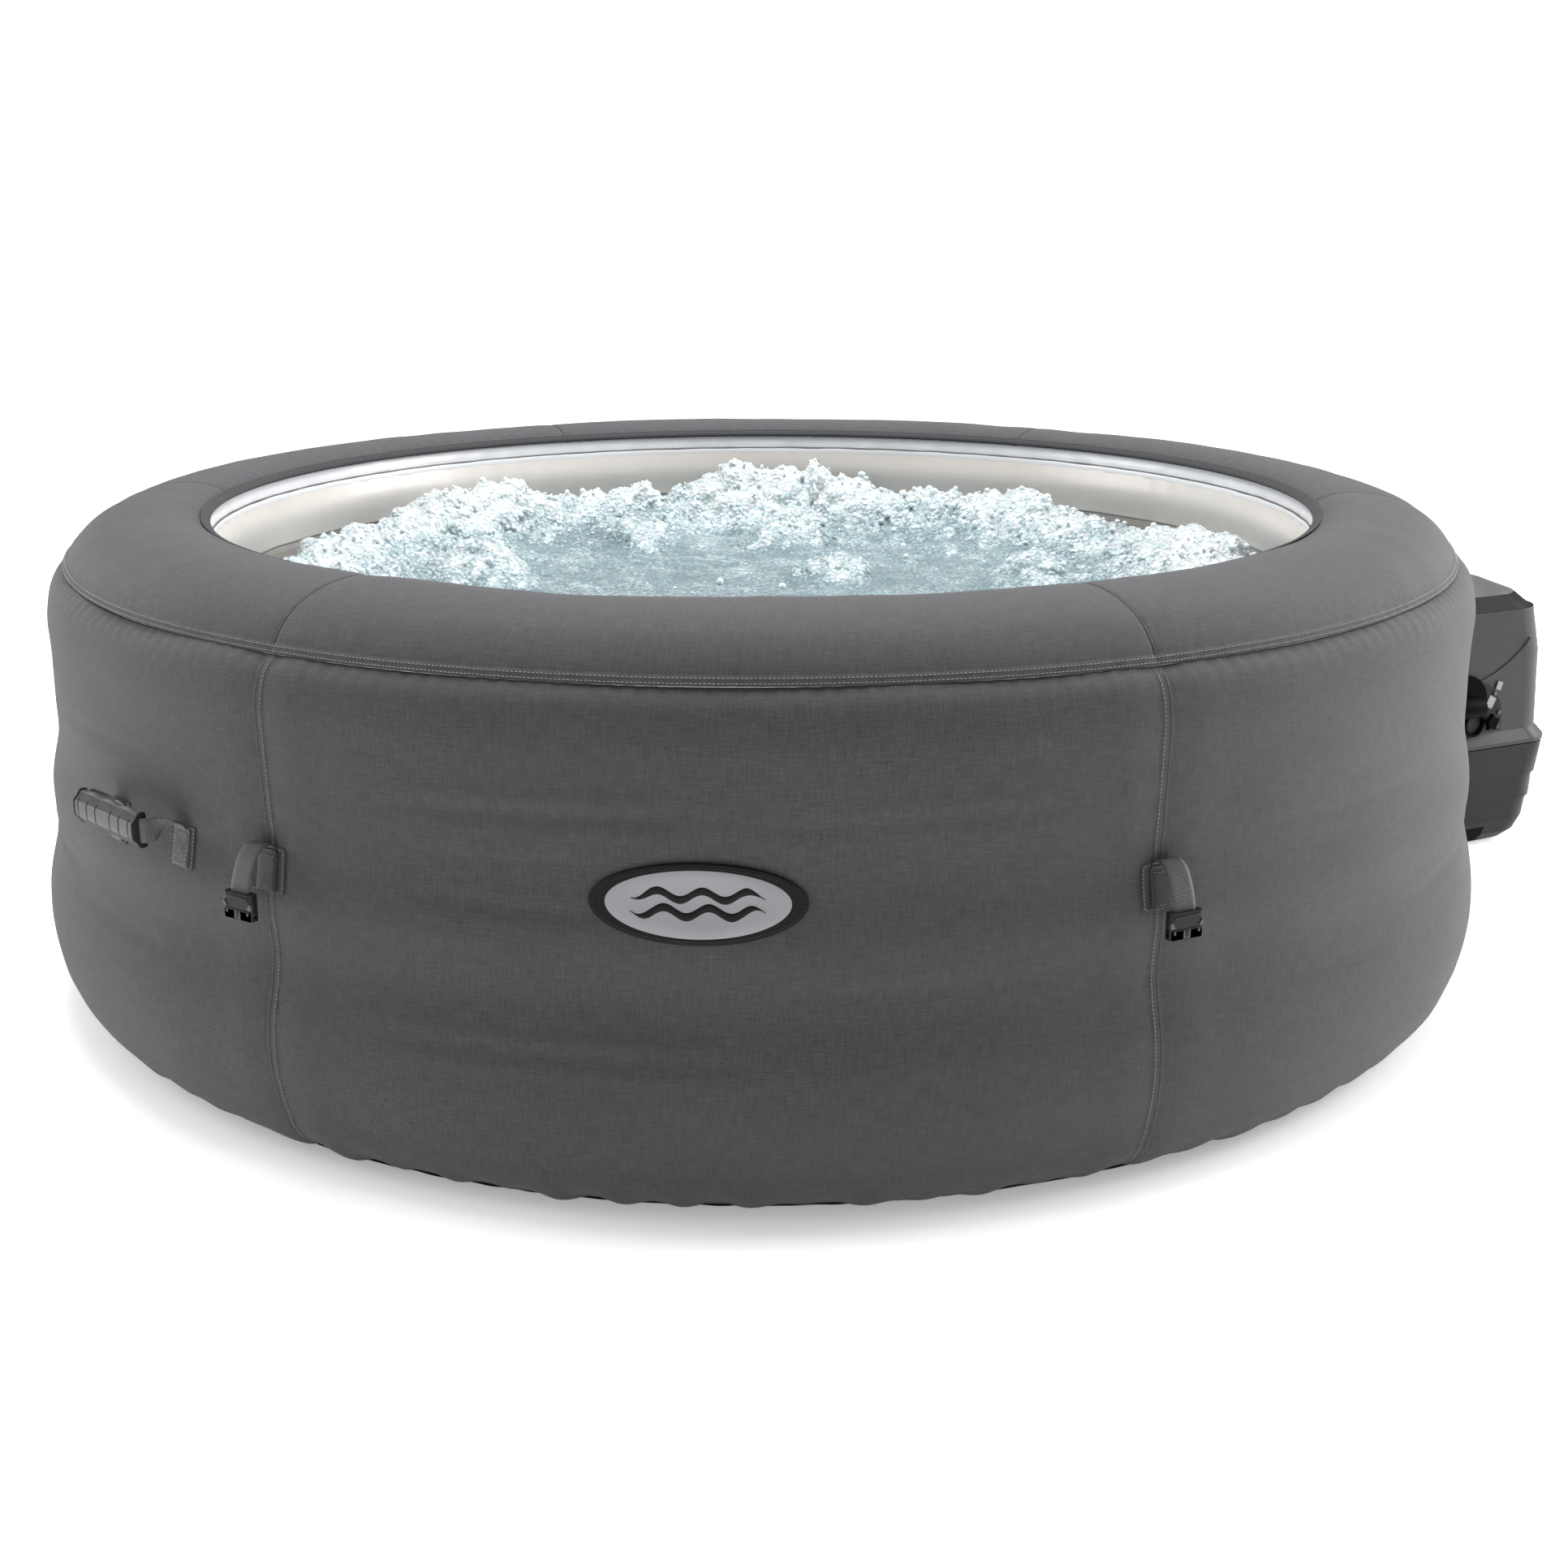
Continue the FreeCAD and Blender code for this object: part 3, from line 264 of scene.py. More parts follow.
def wall_sag(azimuth, z):
    """The lower wall's outward sag, none where pipes and the drain hold the wall."""
    table = np.array(SAG)
    depth = np.interp(z, table[:, 0], table[:, 1])
    turn = np.abs((azimuth + 180.0) % 360.0 - 180.0)
    share = FRONT_SAG + (1 - FRONT_SAG) * smoothstep(20.0, 65.0, turn) * smoothstep(160.0, 115.0, turn)
    for fitting, half in ((BASE_AZIMUTH, 10.0), (DRAIN_AZIMUTH, 3.0)):
        away = np.abs((azimuth - fitting + 180.0) % 360.0 - 180.0)
        share = share * smoothstep(half, half + 11.0, away)
    return depth * share


def wall_at(azimuth, z, lift=0.0):
    relief = wall_relief(azimuth, z)
    r, height = WALL.read(WALL.distance_at(z), relief + lift)
    return around(azimuth, r + wall_sag(azimuth, z), height)


def rim_relief(azimuth, distance):
    """How far the rim's fabric stands out from its outline."""
    aside = seam_distance(azimuth, RIM_RADIUS)[0]
    inside = smoothstep(0.0, 0.08, aside)
    relief = 0.0010 * inside * waves(azimuth, distance, 21, 8, 14, 20.0)
    relief = relief + 0.0003 * inside * waves(azimuth, distance, 22, 8, 60, 40.0, 20)
    relief = relief - 0.0012 * np.exp(-(aside / 0.0030)**2) - 0.0009 * np.exp(-(aside / 0.016)**2)
    pucker = np.sin(distance * 2 * math.pi / 0.019 + waves(azimuth, distance, 23, 3, 6, 20.0))
    relief = relief + 0.00025 * pucker * np.exp(-aside / 0.014)
    hem = 1 - smoothstep(0.0095, 0.0115, distance)
    gather = np.sin(np.radians(azimuth) * 260 + 2.0 * waves(azimuth, distance, 24, 4, 30, 1.0))
    edge = np.exp(-distance / 0.012)
    relief = relief + 0.0009 * hem + 0.00035 * gather * edge
    inner = smoothstep(RIM.length - 0.055, RIM.length - 0.012, distance)
    inner_gather = np.sin(np.radians(azimuth) * 180 + 2.5 * waves(azimuth, distance, 25, 4, 40, 1.0))
    return np.maximum(relief + 0.00045 * inner * inner_gather, DEEPEST)


def rim_at(azimuth, distance, lift=0.0):
    r, z = RIM.read(distance, rim_relief(azimuth, distance) + lift)
    return around(azimuth, r, z)


# ---- meshes --------------------------------------------------------------------------------------
def mesh_piece(name, points, faces, material, body="tub", uv=None, closed=False, smooth=True):
    """A mesh object that rides on a body, or on none yet; uv is one (u, v) per point, in metres."""
    mesh = bpy.data.meshes.new(name)
    mesh.from_pydata(np.asarray(points, float).tolist(), [], [list(face) for face in faces])
    if uv is not None:
        corner_points = np.empty(len(mesh.loops), int)
        mesh.loops.foreach_get("vertex_index", corner_points)
        layer = mesh.uv_layers.new(name="UVMap")
        layer.data.foreach_set("uv", np.asarray(uv, np.float32)[corner_points].ravel())
    mesh.materials.append(material)
    mesh.polygons.foreach_set("use_smooth", np.full(len(mesh.polygons), smooth))
    mesh.update()
    piece = bpy.data.objects.new(name, mesh)
    bpy.context.scene.collection.objects.link(piece)
    if closed:
        face_outwards(mesh)
    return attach(piece, body) if body else piece


def face_outwards(mesh):
    shell = bmesh.new()
    shell.from_mesh(mesh)
    bmesh.ops.recalc_face_normals(shell, faces=shell.faces)
    shell.to_mesh(mesh)
    shell.free()


def grid_faces(rows, columns, wrap=False):
    """Quads between the points of a grid; wrap joins the last row to the first."""
    index = np.arange(rows * columns).reshape(rows, columns)
    if wrap:
        index = np.vstack([index, index[:1]])
    corners = [index[:-1, :-1], index[1:, :-1], index[1:, 1:], index[:-1, 1:]]
    return np.stack(corners, axis=-1).reshape(-1, 4)


def grid_piece(name, points, uv, material, **options):
    rows, columns = points.shape[:2]
    faces = grid_faces(rows, columns, options.pop("wrap", False))
    return mesh_piece(name, points.reshape(-1, 3), faces, material, uv=uv.reshape(-1, 2), **options)


def loft(name, rings, material, body="tub", smooth=True):
    """A closed solid through rings of points (count, around, 3), with flat ends."""
    count, sides = rings.shape[:2]
    index = np.arange(count * sides).reshape(count, sides)
    following = np.roll(index, -1, axis=1)
    quads = np.stack([index[:-1], index[1:], following[1:], following[:-1]], axis=-1).reshape(-1, 4)
    faces = quads.tolist() + [index[0].tolist(), index[-1].tolist()]
    middle = rings.mean(axis=1)
    along = np.repeat(distances(middle)[:, None], sides, axis=1)
    edge = np.linalg.norm(np.roll(rings, -1, axis=1) - rings, axis=-1)
    across = np.cumsum(edge, axis=1) - edge
    uv = np.stack([along, across], axis=-1).reshape(-1, 2)
    return mesh_piece(name, rings.reshape(-1, 3), faces, material, body, uv, closed=True, smooth=smooth)


def thicken(piece, thickness):
    """Give a sheet its thickness on its inner side."""
    modifier = piece.modifiers.new("thickness", "SOLIDIFY")
    modifier.thickness = thickness
    modifier.offset = -1.0
    return piece


def stitches(name, paths, material, body="tub"):
    """Short raised threads along paths; each path is (points, normals), one row of them per seam."""
    along_steps = np.linspace(-1.0, 1.0, 7)
    sides = 6
    verts = []
    for points, normals in paths:
        travelled = distances(points)
        count = max(int(travelled[-1] / STITCH_PITCH), 1)
        centres = (np.arange(count) + 0.5) * travelled[-1] / count
        at = read_line(centres, travelled, points)
        ahead = read_line(centres + 0.0004, travelled, points)
        behind = read_line(centres - 0.0004, travelled, points)
        tangent = unit(ahead - behind)
        normal = unit(read_line(centres, travelled, normals))
        side = np.cross(tangent, normal)
        for step in along_steps:
            thick = STITCH_RADIUS * math.sqrt(max(1 - step**2, 0.03))
            height = STITCH_RADIUS * (1.1 - 1.5 * step**2)
            for corner in range(sides):
                angle = 2 * math.pi * corner / sides
                verts.append(at + tangent * (step * STITCH_LENGTH / 2)
                             + normal * (height + thick * math.sin(angle))
                             + side * (thick * math.cos(angle)))
    return stitch_mesh(name, verts, len(along_steps), sides, material, body)


def stitch_mesh(name, verts, rings, sides, material, body):
    """Joins the verts of every stitch; each item of verts holds one point of each stitch in a row."""
    per_path = rings * sides
    points = []
    faces = []
    for start in range(0, len(verts), per_path):
        block = np.stack(verts[start:start + per_path], axis=1)
        for stitch in block:
            first = len(points)
            points.extend(stitch)
            for ring in range(rings - 1):
                for corner in range(sides):
                    a = first + ring * sides + corner
                    b = first + ring * sides + (corner + 1) % sides
                    faces.append((a, b, b + sides, a + sides))
            faces.append(tuple(range(first + sides - 1, first - 1, -1)))
            faces.append(tuple(range(first + (rings - 1) * sides, first + rings * sides)))
    return mesh_piece(name, points, faces, material, body, closed=True)


# ---- materials -----------------------------------------------------------------------------------
class Finish:
    """One procedural material: a Principled shader and the nodes that feed it."""

    def __init__(self, name, **inputs):
        self.material = bpy.data.materials.new(name)
        self.material.use_nodes = True
        self.tree = self.material.node_tree
        self.shader = self.tree.nodes["Principled BSDF"]
        self.fill(self.shader, inputs)

    def fill(self, node, inputs):
        for key, value in inputs.items():
            socket = node.inputs[key.replace("_", " ") if isinstance(key, str) else key]
            if isinstance(value, bpy.types.NodeSocket):
                self.tree.links.new(value, socket)
            else:
                socket.default_value = value

    def node(self, kind, inputs, output=0, **settings):
        made = self.tree.nodes.new("ShaderNode" + kind)
        for key, value in settings.items():
            setattr(made, key, value)
        self.fill(made, inputs)
        return made.outputs[output]

    def place(self):
        return self.node("TexCoord", {}, "Object")

    def uv(self):
        return self.node("UVMap", {}, uv_map="UVMap")

    def scaled(self, vector, scale):
        return self.node("VectorMath", {0: vector, 1: scale}, operation="MULTIPLY")

    def part(self, vector, axis):
        return self.node("SeparateXYZ", {0: vector}, axis)

    def math(self, operation, a, b=0.0):
        return self.node("Math", {0: a, 1: b}, operation=operation)

    def times(self, a, b):
        return self.math("MULTIPLY", a, b)

    def plus(self, a, b):
        return self.math("ADD", a, b)

    def noise(self, vector, scale, detail=2.0, roughness=0.5):
        return self.node("TexNoise", {"Vector": vector, "Scale": scale, "Detail": detail,
                                      "Roughness": roughness}, "Fac")

    def stretch(self, value, low, high, to_low=0.0, to_high=1.0):
        return self.node("MapRange", {0: value, 1: low, 2: high, 3: to_low, 4: to_high})

    def mix(self, fac, a, b):
        return self.node("Mix", {0: fac, 6: colour(a), 7: colour(b)}, 2, data_type="RGBA")

    def bump(self, height, distance, strength=1.0):
        self.fill(self.shader, {"Normal": self.node("Bump", {"Height": height, "Distance": distance,
                                                              "Strength": strength})})


def colour(value):
    """A grey level or an (r, g, b) from 0 to 255 on screen, as a linear colour; sockets pass through."""
    if isinstance(value, bpy.types.NodeSocket):
        return value
    levels = (value,) * 3 if isinstance(value, (int, float)) else value
    shares = [level / 255 for level in levels]
    return [s / 12.92 if s <= 0.04045 else ((s + 0.055) / 1.055) ** 2.4 for s in shares] + [1.0]


def woven(name, dark, light, pitch=THREAD_PITCH, depth=0.0004, sheen=0.12):
    """Plain-weave fabric: threads both ways, each with its own tone, over slow changes of shade."""
    f = Finish(name, Roughness=0.78, Sheen_Weight=sheen, Sheen_Roughness=0.45, Specular_IOR_Level=0.32)
    uv = f.uv()
    turn_u = f.math("SINE", f.times(f.part(uv, 0), 2 * math.pi / pitch))
    turn_v = f.math("SINE", f.times(f.part(uv, 1), 2 * math.pi / pitch))
    over = f.times(turn_u, turn_v)
    streak_u = f.noise(f.scaled(uv, (1 / pitch, 45.0, 1.0)), 1.0, 0.0)
    streak_v = f.noise(f.scaled(uv, (45.0, 1 / pitch, 1.0)), 1.0, 0.0)
    streaks = f.plus(streak_u, streak_v)
    broad = f.noise(f.scaled(uv, (5.0, 12.0, 1.0)), 1.0, 3.0)
    threads = f.plus(f.times(over, 0.25), f.times(streaks, 0.4))
    tone = f.plus(threads, f.times(broad, 0.2))
    f.fill(f.shader, {"Base Color": f.mix(f.stretch(tone, 0.15, 0.85), dark, light)})
    relief = f.plus(f.times(over, 0.5), f.times(streaks, 0.2))
    f.bump(relief, depth)
    return f.material


def ribbed(name, dark, light):
    """Webbing: painted shade in the gaps between the ribs that are in the mesh, and fine fibres."""
    f = Finish(name, Roughness=0.5, Specular_IOR_Level=0.45)
    uv = f.uv()
    # Darker colour in the rib gaps: painted shade.
    rib_gap_shade = f.math("ABSOLUTE", f.math("SINE", f.times(f.part(uv, 0), math.pi / RIB_PITCH)))
    fibres = f.noise(f.scaled(uv, (300.0, 1500.0, 1.0)), 1.0, 2.0)
    tone = f.plus(f.times(rib_gap_shade, 0.55), f.times(fibres, 0.5))
    f.fill(f.shader, {"Base Color": f.mix(f.stretch(tone, 0.3, 0.85), dark, light)})
    f.bump(tone, 0.0002)
    return f.material


def moulded(name, dark, light, roughness=0.45, grain=900.0, depth=0.00006, **inputs):
    """Moulded plastic: fine grain, faint cloudiness and uneven gloss."""
    f = Finish(name, **inputs)
    place = f.place()
    cloud = f.noise(place, 9.0, 4.0)
    fine = f.noise(place, grain, 2.0)
    f.fill(f.shader, {"Base Color": f.mix(f.stretch(cloud, 0.3, 0.7), dark, light),
                      "Roughness": f.stretch(cloud, 0.25, 0.75, roughness - 0.07, roughness + 0.09)})
    f.bump(fine, depth)
    return f.material


def soft_vinyl(name, dark, light, roughness, weld=None):
    """Coated PVC: slow waviness, a leathery grain and soft gloss; below the weld's height, a darker painted
    shade.
    """
    f = Finish(name, Specular_IOR_Level=0.5, Coat_Weight=0.15, Coat_Roughness=0.2)
    place = f.place()
    broad = f.noise(f.scaled(place, (3.0, 3.0, 9.0)), 1.0, 4.0)
    grain = f.noise(place, 700.0, 3.0)
    tone = f.mix(f.stretch(broad, 0.3, 0.7), dark, light)
    # Below the weld's height the tone turns darker: painted shade on the lower liner.
    if weld:
        height, below = weld
        under = f.stretch(f.part(place, 2), height - 0.012, height)
        tone = f.mix(under, below, tone)
    gloss = f.stretch(broad, 0.2, 0.8, roughness - 0.06, roughness + 0.08)
    f.fill(f.shader, {"Base Color": tone, "Roughness": gloss})
    f.bump(f.plus(f.times(broad, 4.0), f.times(grain, 0.12)), 0.0004)
    return f.material


def bubbling():
    """Aerated water: white foam on the crests and pale teal water in the hollows."""
    f = Finish("bubbling_water", IOR=1.33, Specular_IOR_Level=0.6, Coat_Weight=0.6, Coat_Roughness=0.04,
               Subsurface_Weight=0.15, Subsurface_Scale=0.01)
    place = f.place()
    cells = f.node("TexVoronoi", {"Vector": place, "Scale": 150.0}, "Distance")
    fine = f.noise(place, 190.0, 5.0, 0.65)
    patches = f.noise(place, 14.0, 4.0, 0.6)
    lifted = f.stretch(f.part(place, 2), 0.50, 0.60, -0.18, 0.26)
    foam = f.plus(f.plus(f.times(fine, 0.75), f.times(patches, 0.7)), lifted)
    spots = f.math("SUBTRACT", foam, f.times(cells, 0.28))
    shade = f.mix(f.stretch(spots, 0.42, 0.62), (118, 141, 147), (186, 203, 207))
    f.fill(f.shader, {"Base Color": f.mix(f.stretch(spots, 0.58, 0.76), shade, (216, 224, 226)),
                      "Roughness": f.stretch(spots, 0.45, 0.8, 0.05, 0.35)})
    f.bump(f.plus(fine, f.times(cells, 0.9)), 0.006)
    return f.material


FABRIC = woven("woven_cover", (51, 51, 54), (77, 77, 80))
BINDING = woven("woven_binding", (34, 34, 37), (54, 54, 57), 0.0018, 0.0003)
PATCH_FABRIC = woven("woven_patch", (50, 50, 53), (72, 72, 75), 0.0018, 0.0003)
WEBBING = ribbed("handle_webbing", 20, 104)
# A darker copy of the handle webbing for the straps: painted shade.
STRAP_WEBBING_PAINTED_SHADE = ribbed("strap_webbing", 14, 88)
# A darker copy of the webbing for the strap tails: painted shade from the straps over them.
TAIL_WEBBING_PAINTED_SHADE = ribbed("tail_webbing_painted_shade", 10, 52)
THREAD = moulded("sewing_thread", 122, 146, 0.6, 2500.0)
DARK_THREAD = moulded("dark_thread", 26, 40, 0.6, 2500.0)
BADGE_BLACK = moulded("badge_rubber", 8, 13, 0.62, 1100.0, 0.00010, Specular_IOR_Level=0.22)
BADGE_GREY = moulded("badge_plate_satin", (134, 134, 138), (144, 144, 148), 0.45, 500.0, 0.00003)
WHITE_VINYL = soft_vinyl("white_vinyl", (216, 215, 217), (228, 227, 229), 0.25)
# The liner turns darker below its lower weld: painted shade.
LINER_VINYL = soft_vinyl("liner_vinyl", (196, 190, 184), (206, 201, 196), 0.34, (0.541, (150, 143, 137)))
CHAMBER_VINYL = soft_vinyl("chamber_vinyl", (150, 152, 155), (164, 166, 169), 0.4)
BUCKLE_PLASTIC = moulded("buckle_plastic", 18, 26, Specular_IOR_Level=0.25)
# A lighter copy of the buckle plastic for its guide, horns and release arms: painted highlight.
BUCKLE_PAINTED_HIGHLIGHT = moulded("buckle_edge_plastic", 60, 76, 0.4)
# A black sheet over the buckle's mouth: painted shade inside its opening.
BUCKLE_MOUTH_PAINTED_SHADE = moulded("buckle_mouth_plastic", 0, 1, 0.8, Specular_IOR_Level=0.0)
GRIP_PLASTIC = moulded("grip_plastic", 70, 84, 0.55, 1300.0, 0.00012)
# A darker copy of the grip plastic for its flanges: painted shade.
GRIP_FLANGE_PAINTED_SHADE = moulded("grip_flange_painted_shade", 36, 46, 0.6, 1300.0, 0.00012, Specular_IOR_Level=0.3)
GRIP_DARK = moulded("grip_dark_plastic", 8, 14, 0.5, 1300.0, 0.00010, Specular_IOR_Level=0.25)
HOUSING = moulded("housing_plastic", (20, 20, 22), (26, 26, 28), 0.5, 1500.0, 0.00010,
                  Specular_IOR_Level=0.18)
HOUSING_SIDE = moulded("housing_side_plastic", (32, 32, 35), (40, 40, 43), 0.5, 1500.0, 0.00010,
                       Specular_IOR_Level=0.35)
# A darker copy of the upper shell's plastic for its sloping band: painted shade.
HOUSING_SLOPE_PAINTED_SHADE = moulded("housing_slope_painted_shade", (17, 17, 19), (23, 23, 25), 0.5, 1500.0, 0.00010,
                        Specular_IOR_Level=0.08)
# A lighter copy of the upper shell's plastic for its roof: painted light.
HOUSING_ROOF_PAINTED_LIGHT = moulded("housing_roof_painted_light", (66, 66, 69), (76, 76, 79), 0.5, 1500.0, 0.00010)
PANEL_PLASTIC = moulded("panel_plastic", 34, 44, 0.3, 900.0, 0.00004)
BUTTON_PLASTIC = moulded("button_plastic", 196, 208, 0.4, 900.0, 0.00004)
GLASS = moulded("display_glass", 8, 14, 0.12, 400.0, 0.00001, Coat_Weight=1.0)
VALVE_PLASTIC = moulded("valve_plastic", 120, 134)
RUBBER = moulded("port_rubber", 1, 3, 0.55, 700.0, 0.00012, Specular_IOR_Level=0.03)
TAG_PLASTIC = moulded("tag_plastic", 120, 136, 0.5)
STEEL = moulded("screw_steel", 62, 84, 0.4, 600.0, 0.00004, Metallic=1.0)
PUMP_PLASTIC = moulded("pump_plastic", 44, 58, 0.5, 700.0)
PAPER = moulded("filter_paper", 214, 230, 0.8, 500.0, 0.0003)
DARK_WELD = moulded("weld_bead", 92, 110, 0.4)
WATER = bubbling()
FOAM = moulded("foam_bubbles", (196, 210, 214), (226, 232, 234), 0.14, 300.0, 0.0003, Coat_Weight=0.8)


# ---- fabric cover --------------------------------------------------------------------------------
def panel_azimuths(index, radius):
    lap = math.degrees(SEAM_LAP / radius) * (1 - index % 2)
    start = FIRST_SEAM + index * PANEL_ANGLE - lap
    end = start + PANEL_ANGLE + 2 * lap
    coarse = np.linspace(start, end, int(math.radians(PANEL_ANGLE) * radius / GRID_STEP))
    near_seam = np.degrees(np.linspace(0.0, 0.012, 9) / radius)
    return np.unique(np.concatenate([coarse, start + near_seam, end - near_seam]).round(6))


def make_wall_panels():
    heights = WALL.distance_at(np.array([0.0028, 0.594]))
    steps = int((heights[1] - heights[0]) / GRID_STEP)
    distance = np.linspace(heights[0], heights[1], steps)
    near_top = np.linspace(heights[1] - 0.012, heights[1], 9)
    distance = np.unique(np.concatenate([distance, near_top]).round(7))
    z = np.interp(distance, WALL.along, WALL.line[:, 1])
    for index in range(PANEL_COUNT):
        azimuth, height = np.meshgrid(panel_azimuths(index, WALL_RADIUS), z, indexing="ij")
        along = np.broadcast_to(distance, azimuth.shape)
        uv = np.stack([np.radians(azimuth) * WALL_RADIUS, along], axis=-1)
        node = "wall_panel_%d" % (index + 1)
        panel = grid_piece("cover_" + node, wall_at(azimuth, height), uv, FABRIC)
        thicken(panel, FABRIC_THICKNESS)
        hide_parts(node)


def make_rim_panels():
    distance = np.linspace(0.0, RIM.length, int(RIM.length / GRID_STEP))
    hem = np.linspace(0.0, 0.015, 13)
    distance = np.unique(np.concatenate([distance, hem]).round(7))
    for index in range(PANEL_COUNT):
        azimuth, along = np.meshgrid(panel_azimuths(index, RIM_RADIUS), distance, indexing="ij")
        uv = np.stack([np.radians(azimuth) * RIM_RADIUS, along], axis=-1)
        panel = grid_piece("cover_rim_%d" % (index + 1), rim_at(azimuth, along), uv, FABRIC)
        thicken(panel, FABRIC_THICKNESS)
        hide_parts("rim_panels")


def make_binding():
    """A folded strip round the rim's inner edge."""
    section = smooth_line([(-0.0135, 0.0012), (-0.0125, 0.0026), (-0.007, 0.0030), (-0.0015, 0.0029),
                           (0.0016, 0.0012), (0.0012, -0.0018), (-0.0035, -0.0026)], 26)
    azimuth = np.linspace(0.0, 360.0, 1400, endpoint=False)
    grid, along = np.meshgrid(azimuth, section[:, 0], indexing="ij")
    lift = np.broadcast_to(section[:, 1], grid.shape)
    gather = 0.00022 * np.sin(np.radians(grid) * 300 + 2.0 * waves(grid, 0.0, 31, 4, 30, 1.0))
    distance = np.clip(RIM.length + along, 0.0, RIM.length)
    past = np.clip(along, 0.0, None)
    r, z = RIM.read(distance, lift + gather)
    points = around(grid, r - past * 0.85, z - past * 0.5)
    uv = np.stack([np.radians(grid) * BINDING_RADIUS, along + lift], axis=-1)
    binding = grid_piece("cover_binding", points, uv, BINDING, wrap=True)
    thicken(binding, 0.0009)
    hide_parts("rim_binding")


def make_hem():
    """The gathered edge that is drawn under the tub."""
    azimuth = np.linspace(0.0, 360.0, 1200, endpoint=False)
    across = np.linspace(0.0, 1.0, 20)
    grid, share = np.meshgrid(azimuth, across, indexing="ij")
    radius = HEM_RADIUS - share * HEM_WIDTH
    gather = waves(grid, share, 32, 8, 140, 6.0, 60)
    z = 0.0024 + 0.0006 * smoothstep(0.35, 0.0, share) + 0.0005 * np.clip(gather, -2.0, 2.0)
    uv = np.stack([np.radians(grid) * 0.9, share * HEM_WIDTH], axis=-1)
    hem = grid_piece("cover_hem", around(grid, radius, z), uv, BINDING, wrap=True)
    thicken(hem, 0.0008)
    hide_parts("base_hem")


def seams():
    """Each seam's number, its azimuth, and 1 or -1 for the side that is stitched."""
    return [(index + 1, FIRST_SEAM + index * PANEL_ANGLE, 1 - 2 * (index % 2))
            for index in range(PANEL_COUNT)]


def seam_path(surface, azimuth, distance, lift):
    """A stitched line on a surface function, with its outward normals."""
    points = surface(azimuth, distance, lift)
    above = surface(azimuth, distance, lift + 0.001)
    return points, unit(above - points)


def make_seam_stitches():
    full = np.linspace(0.0, 360.0, 4000)
    rim_rows = [seam_path(rim_at, full, np.full_like(full, distance), 0.0) for distance in (0.0024, 0.0082)]
    stitches("rim_stitching", rim_rows, THREAD)
    z = np.linspace(0.012, 0.586, 900)
    aside = math.degrees(0.0065 / WALL_RADIUS)
    wall_rows = [seam_path(wall_at, np.full_like(z, seam + side * aside), z, 0.0)
                 for _, seam, side in seams()]
    stitches("panel_stitching", wall_rows, THREAD)


def seam_tube(name, surface, azimuth, distance, radius, material):
    """A thin rounded line along a seam."""
    points, normals = seam_path(surface, np.full_like(distance, azimuth), distance, 0.0)
    side = np.cross(unit(np.gradient(points, axis=0)), normals)
    angle = np.radians(np.arange(0, 360, 60))[None, :, None]
    rings = points[:, None] + radius * (np.cos(angle) * side[:, None] + np.sin(angle) * normals[:, None])
    loft(name, rings, material)


def make_seam_lines():
    """A dark cord down each rim seam, and the folded edge beside each wall seam."""
    along = np.linspace(0.013, RIM.length - 0.012, 160)
    z = np.linspace(0.010, 0.588, 400)
    for number, seam, side in seams():
        seam_tube("rim_seam_%d" % number, rim_at, seam, along, 0.0010, DARK_THREAD)
        fold = seam - side * math.degrees(0.0012 / WALL_RADIUS)
        seam_tube("wall_fold_%d" % number, wall_at, fold, z, 0.0005, PATCH_FABRIC)


# ---- plates on the wall --------------------------------------------------------------------------
def oval_outline(width, height, count=120):
    angle = np.linspace(0.0, 2 * math.pi, count, endpoint=False)
    return np.stack([np.cos(angle) * width / 2, np.sin(angle) * height / 2], axis=1)


def rounded_outline(width, height, corner, count=9):
    """A rounded rectangle as (u, v) points, anticlockwise from its right side."""
    points = []
    for sign_u, sign_v, start in ((1, 1, 0), (-1, 1, 90), (-1, -1, 180), (1, -1, 270)):
        for angle in np.radians(np.linspace(start, start + 90, count)):
            points.append((sign_u * (width / 2 - corner) + corner * math.cos(angle),
                           sign_v * (height / 2 - corner) + corner * math.sin(angle)))
    return np.array(points)


def wall_plate(name, outline, azimuth, z, lift, thickness, edge, material, body="tub", surface=wall_at):
    """A thin plate that lies along the wall, with a rounded edge; outline is (u, v) about its middle."""
    size = np.abs(outline).max()
    rings = []
    for share in (0.02, 0.25, 0.5, 0.75, 1.0):
        rings.append((outline * (1 - edge / size) * share, lift + thickness))
    for turn in np.radians([30.0, 60.0, 90.0]):
        grown = outline * (1 - edge / size * (1 - math.sin(turn)))
        rings.append((grown, lift + thickness - edge * (1 - math.cos(turn))))
    rings.append((outline, lift))
    rings.append((outline * 0.5, lift))
    points = np.stack([surface(azimuth + np.degrees(uv[:, 0] / WALL_RADIUS), z + uv[:, 1], height)
                       for uv, height in rings])
    return loft(name, points, material, body)


def smooth_wall_at(azimuth, z, lift=0.0):
    """The wall without its seam's laps, for stiff plates."""
    r, height = WALL.read(WALL.distance_at(z), lift)
    return around(azimuth, r + wall_sag(azimuth, z), height)


def wall_line(outline, azimuth, z, lift, surface=wall_at):
    """Points and normals along a closed or open (u, v) outline on the wall."""
    fine = smooth_line(outline, 400)
    return seam_path(surface, azimuth + np.degrees(fine[:, 0] / WALL_RADIUS), z + fine[:, 1], lift)


def closed_outline(outline):
    return np.vstack([outline, outline[:1]])


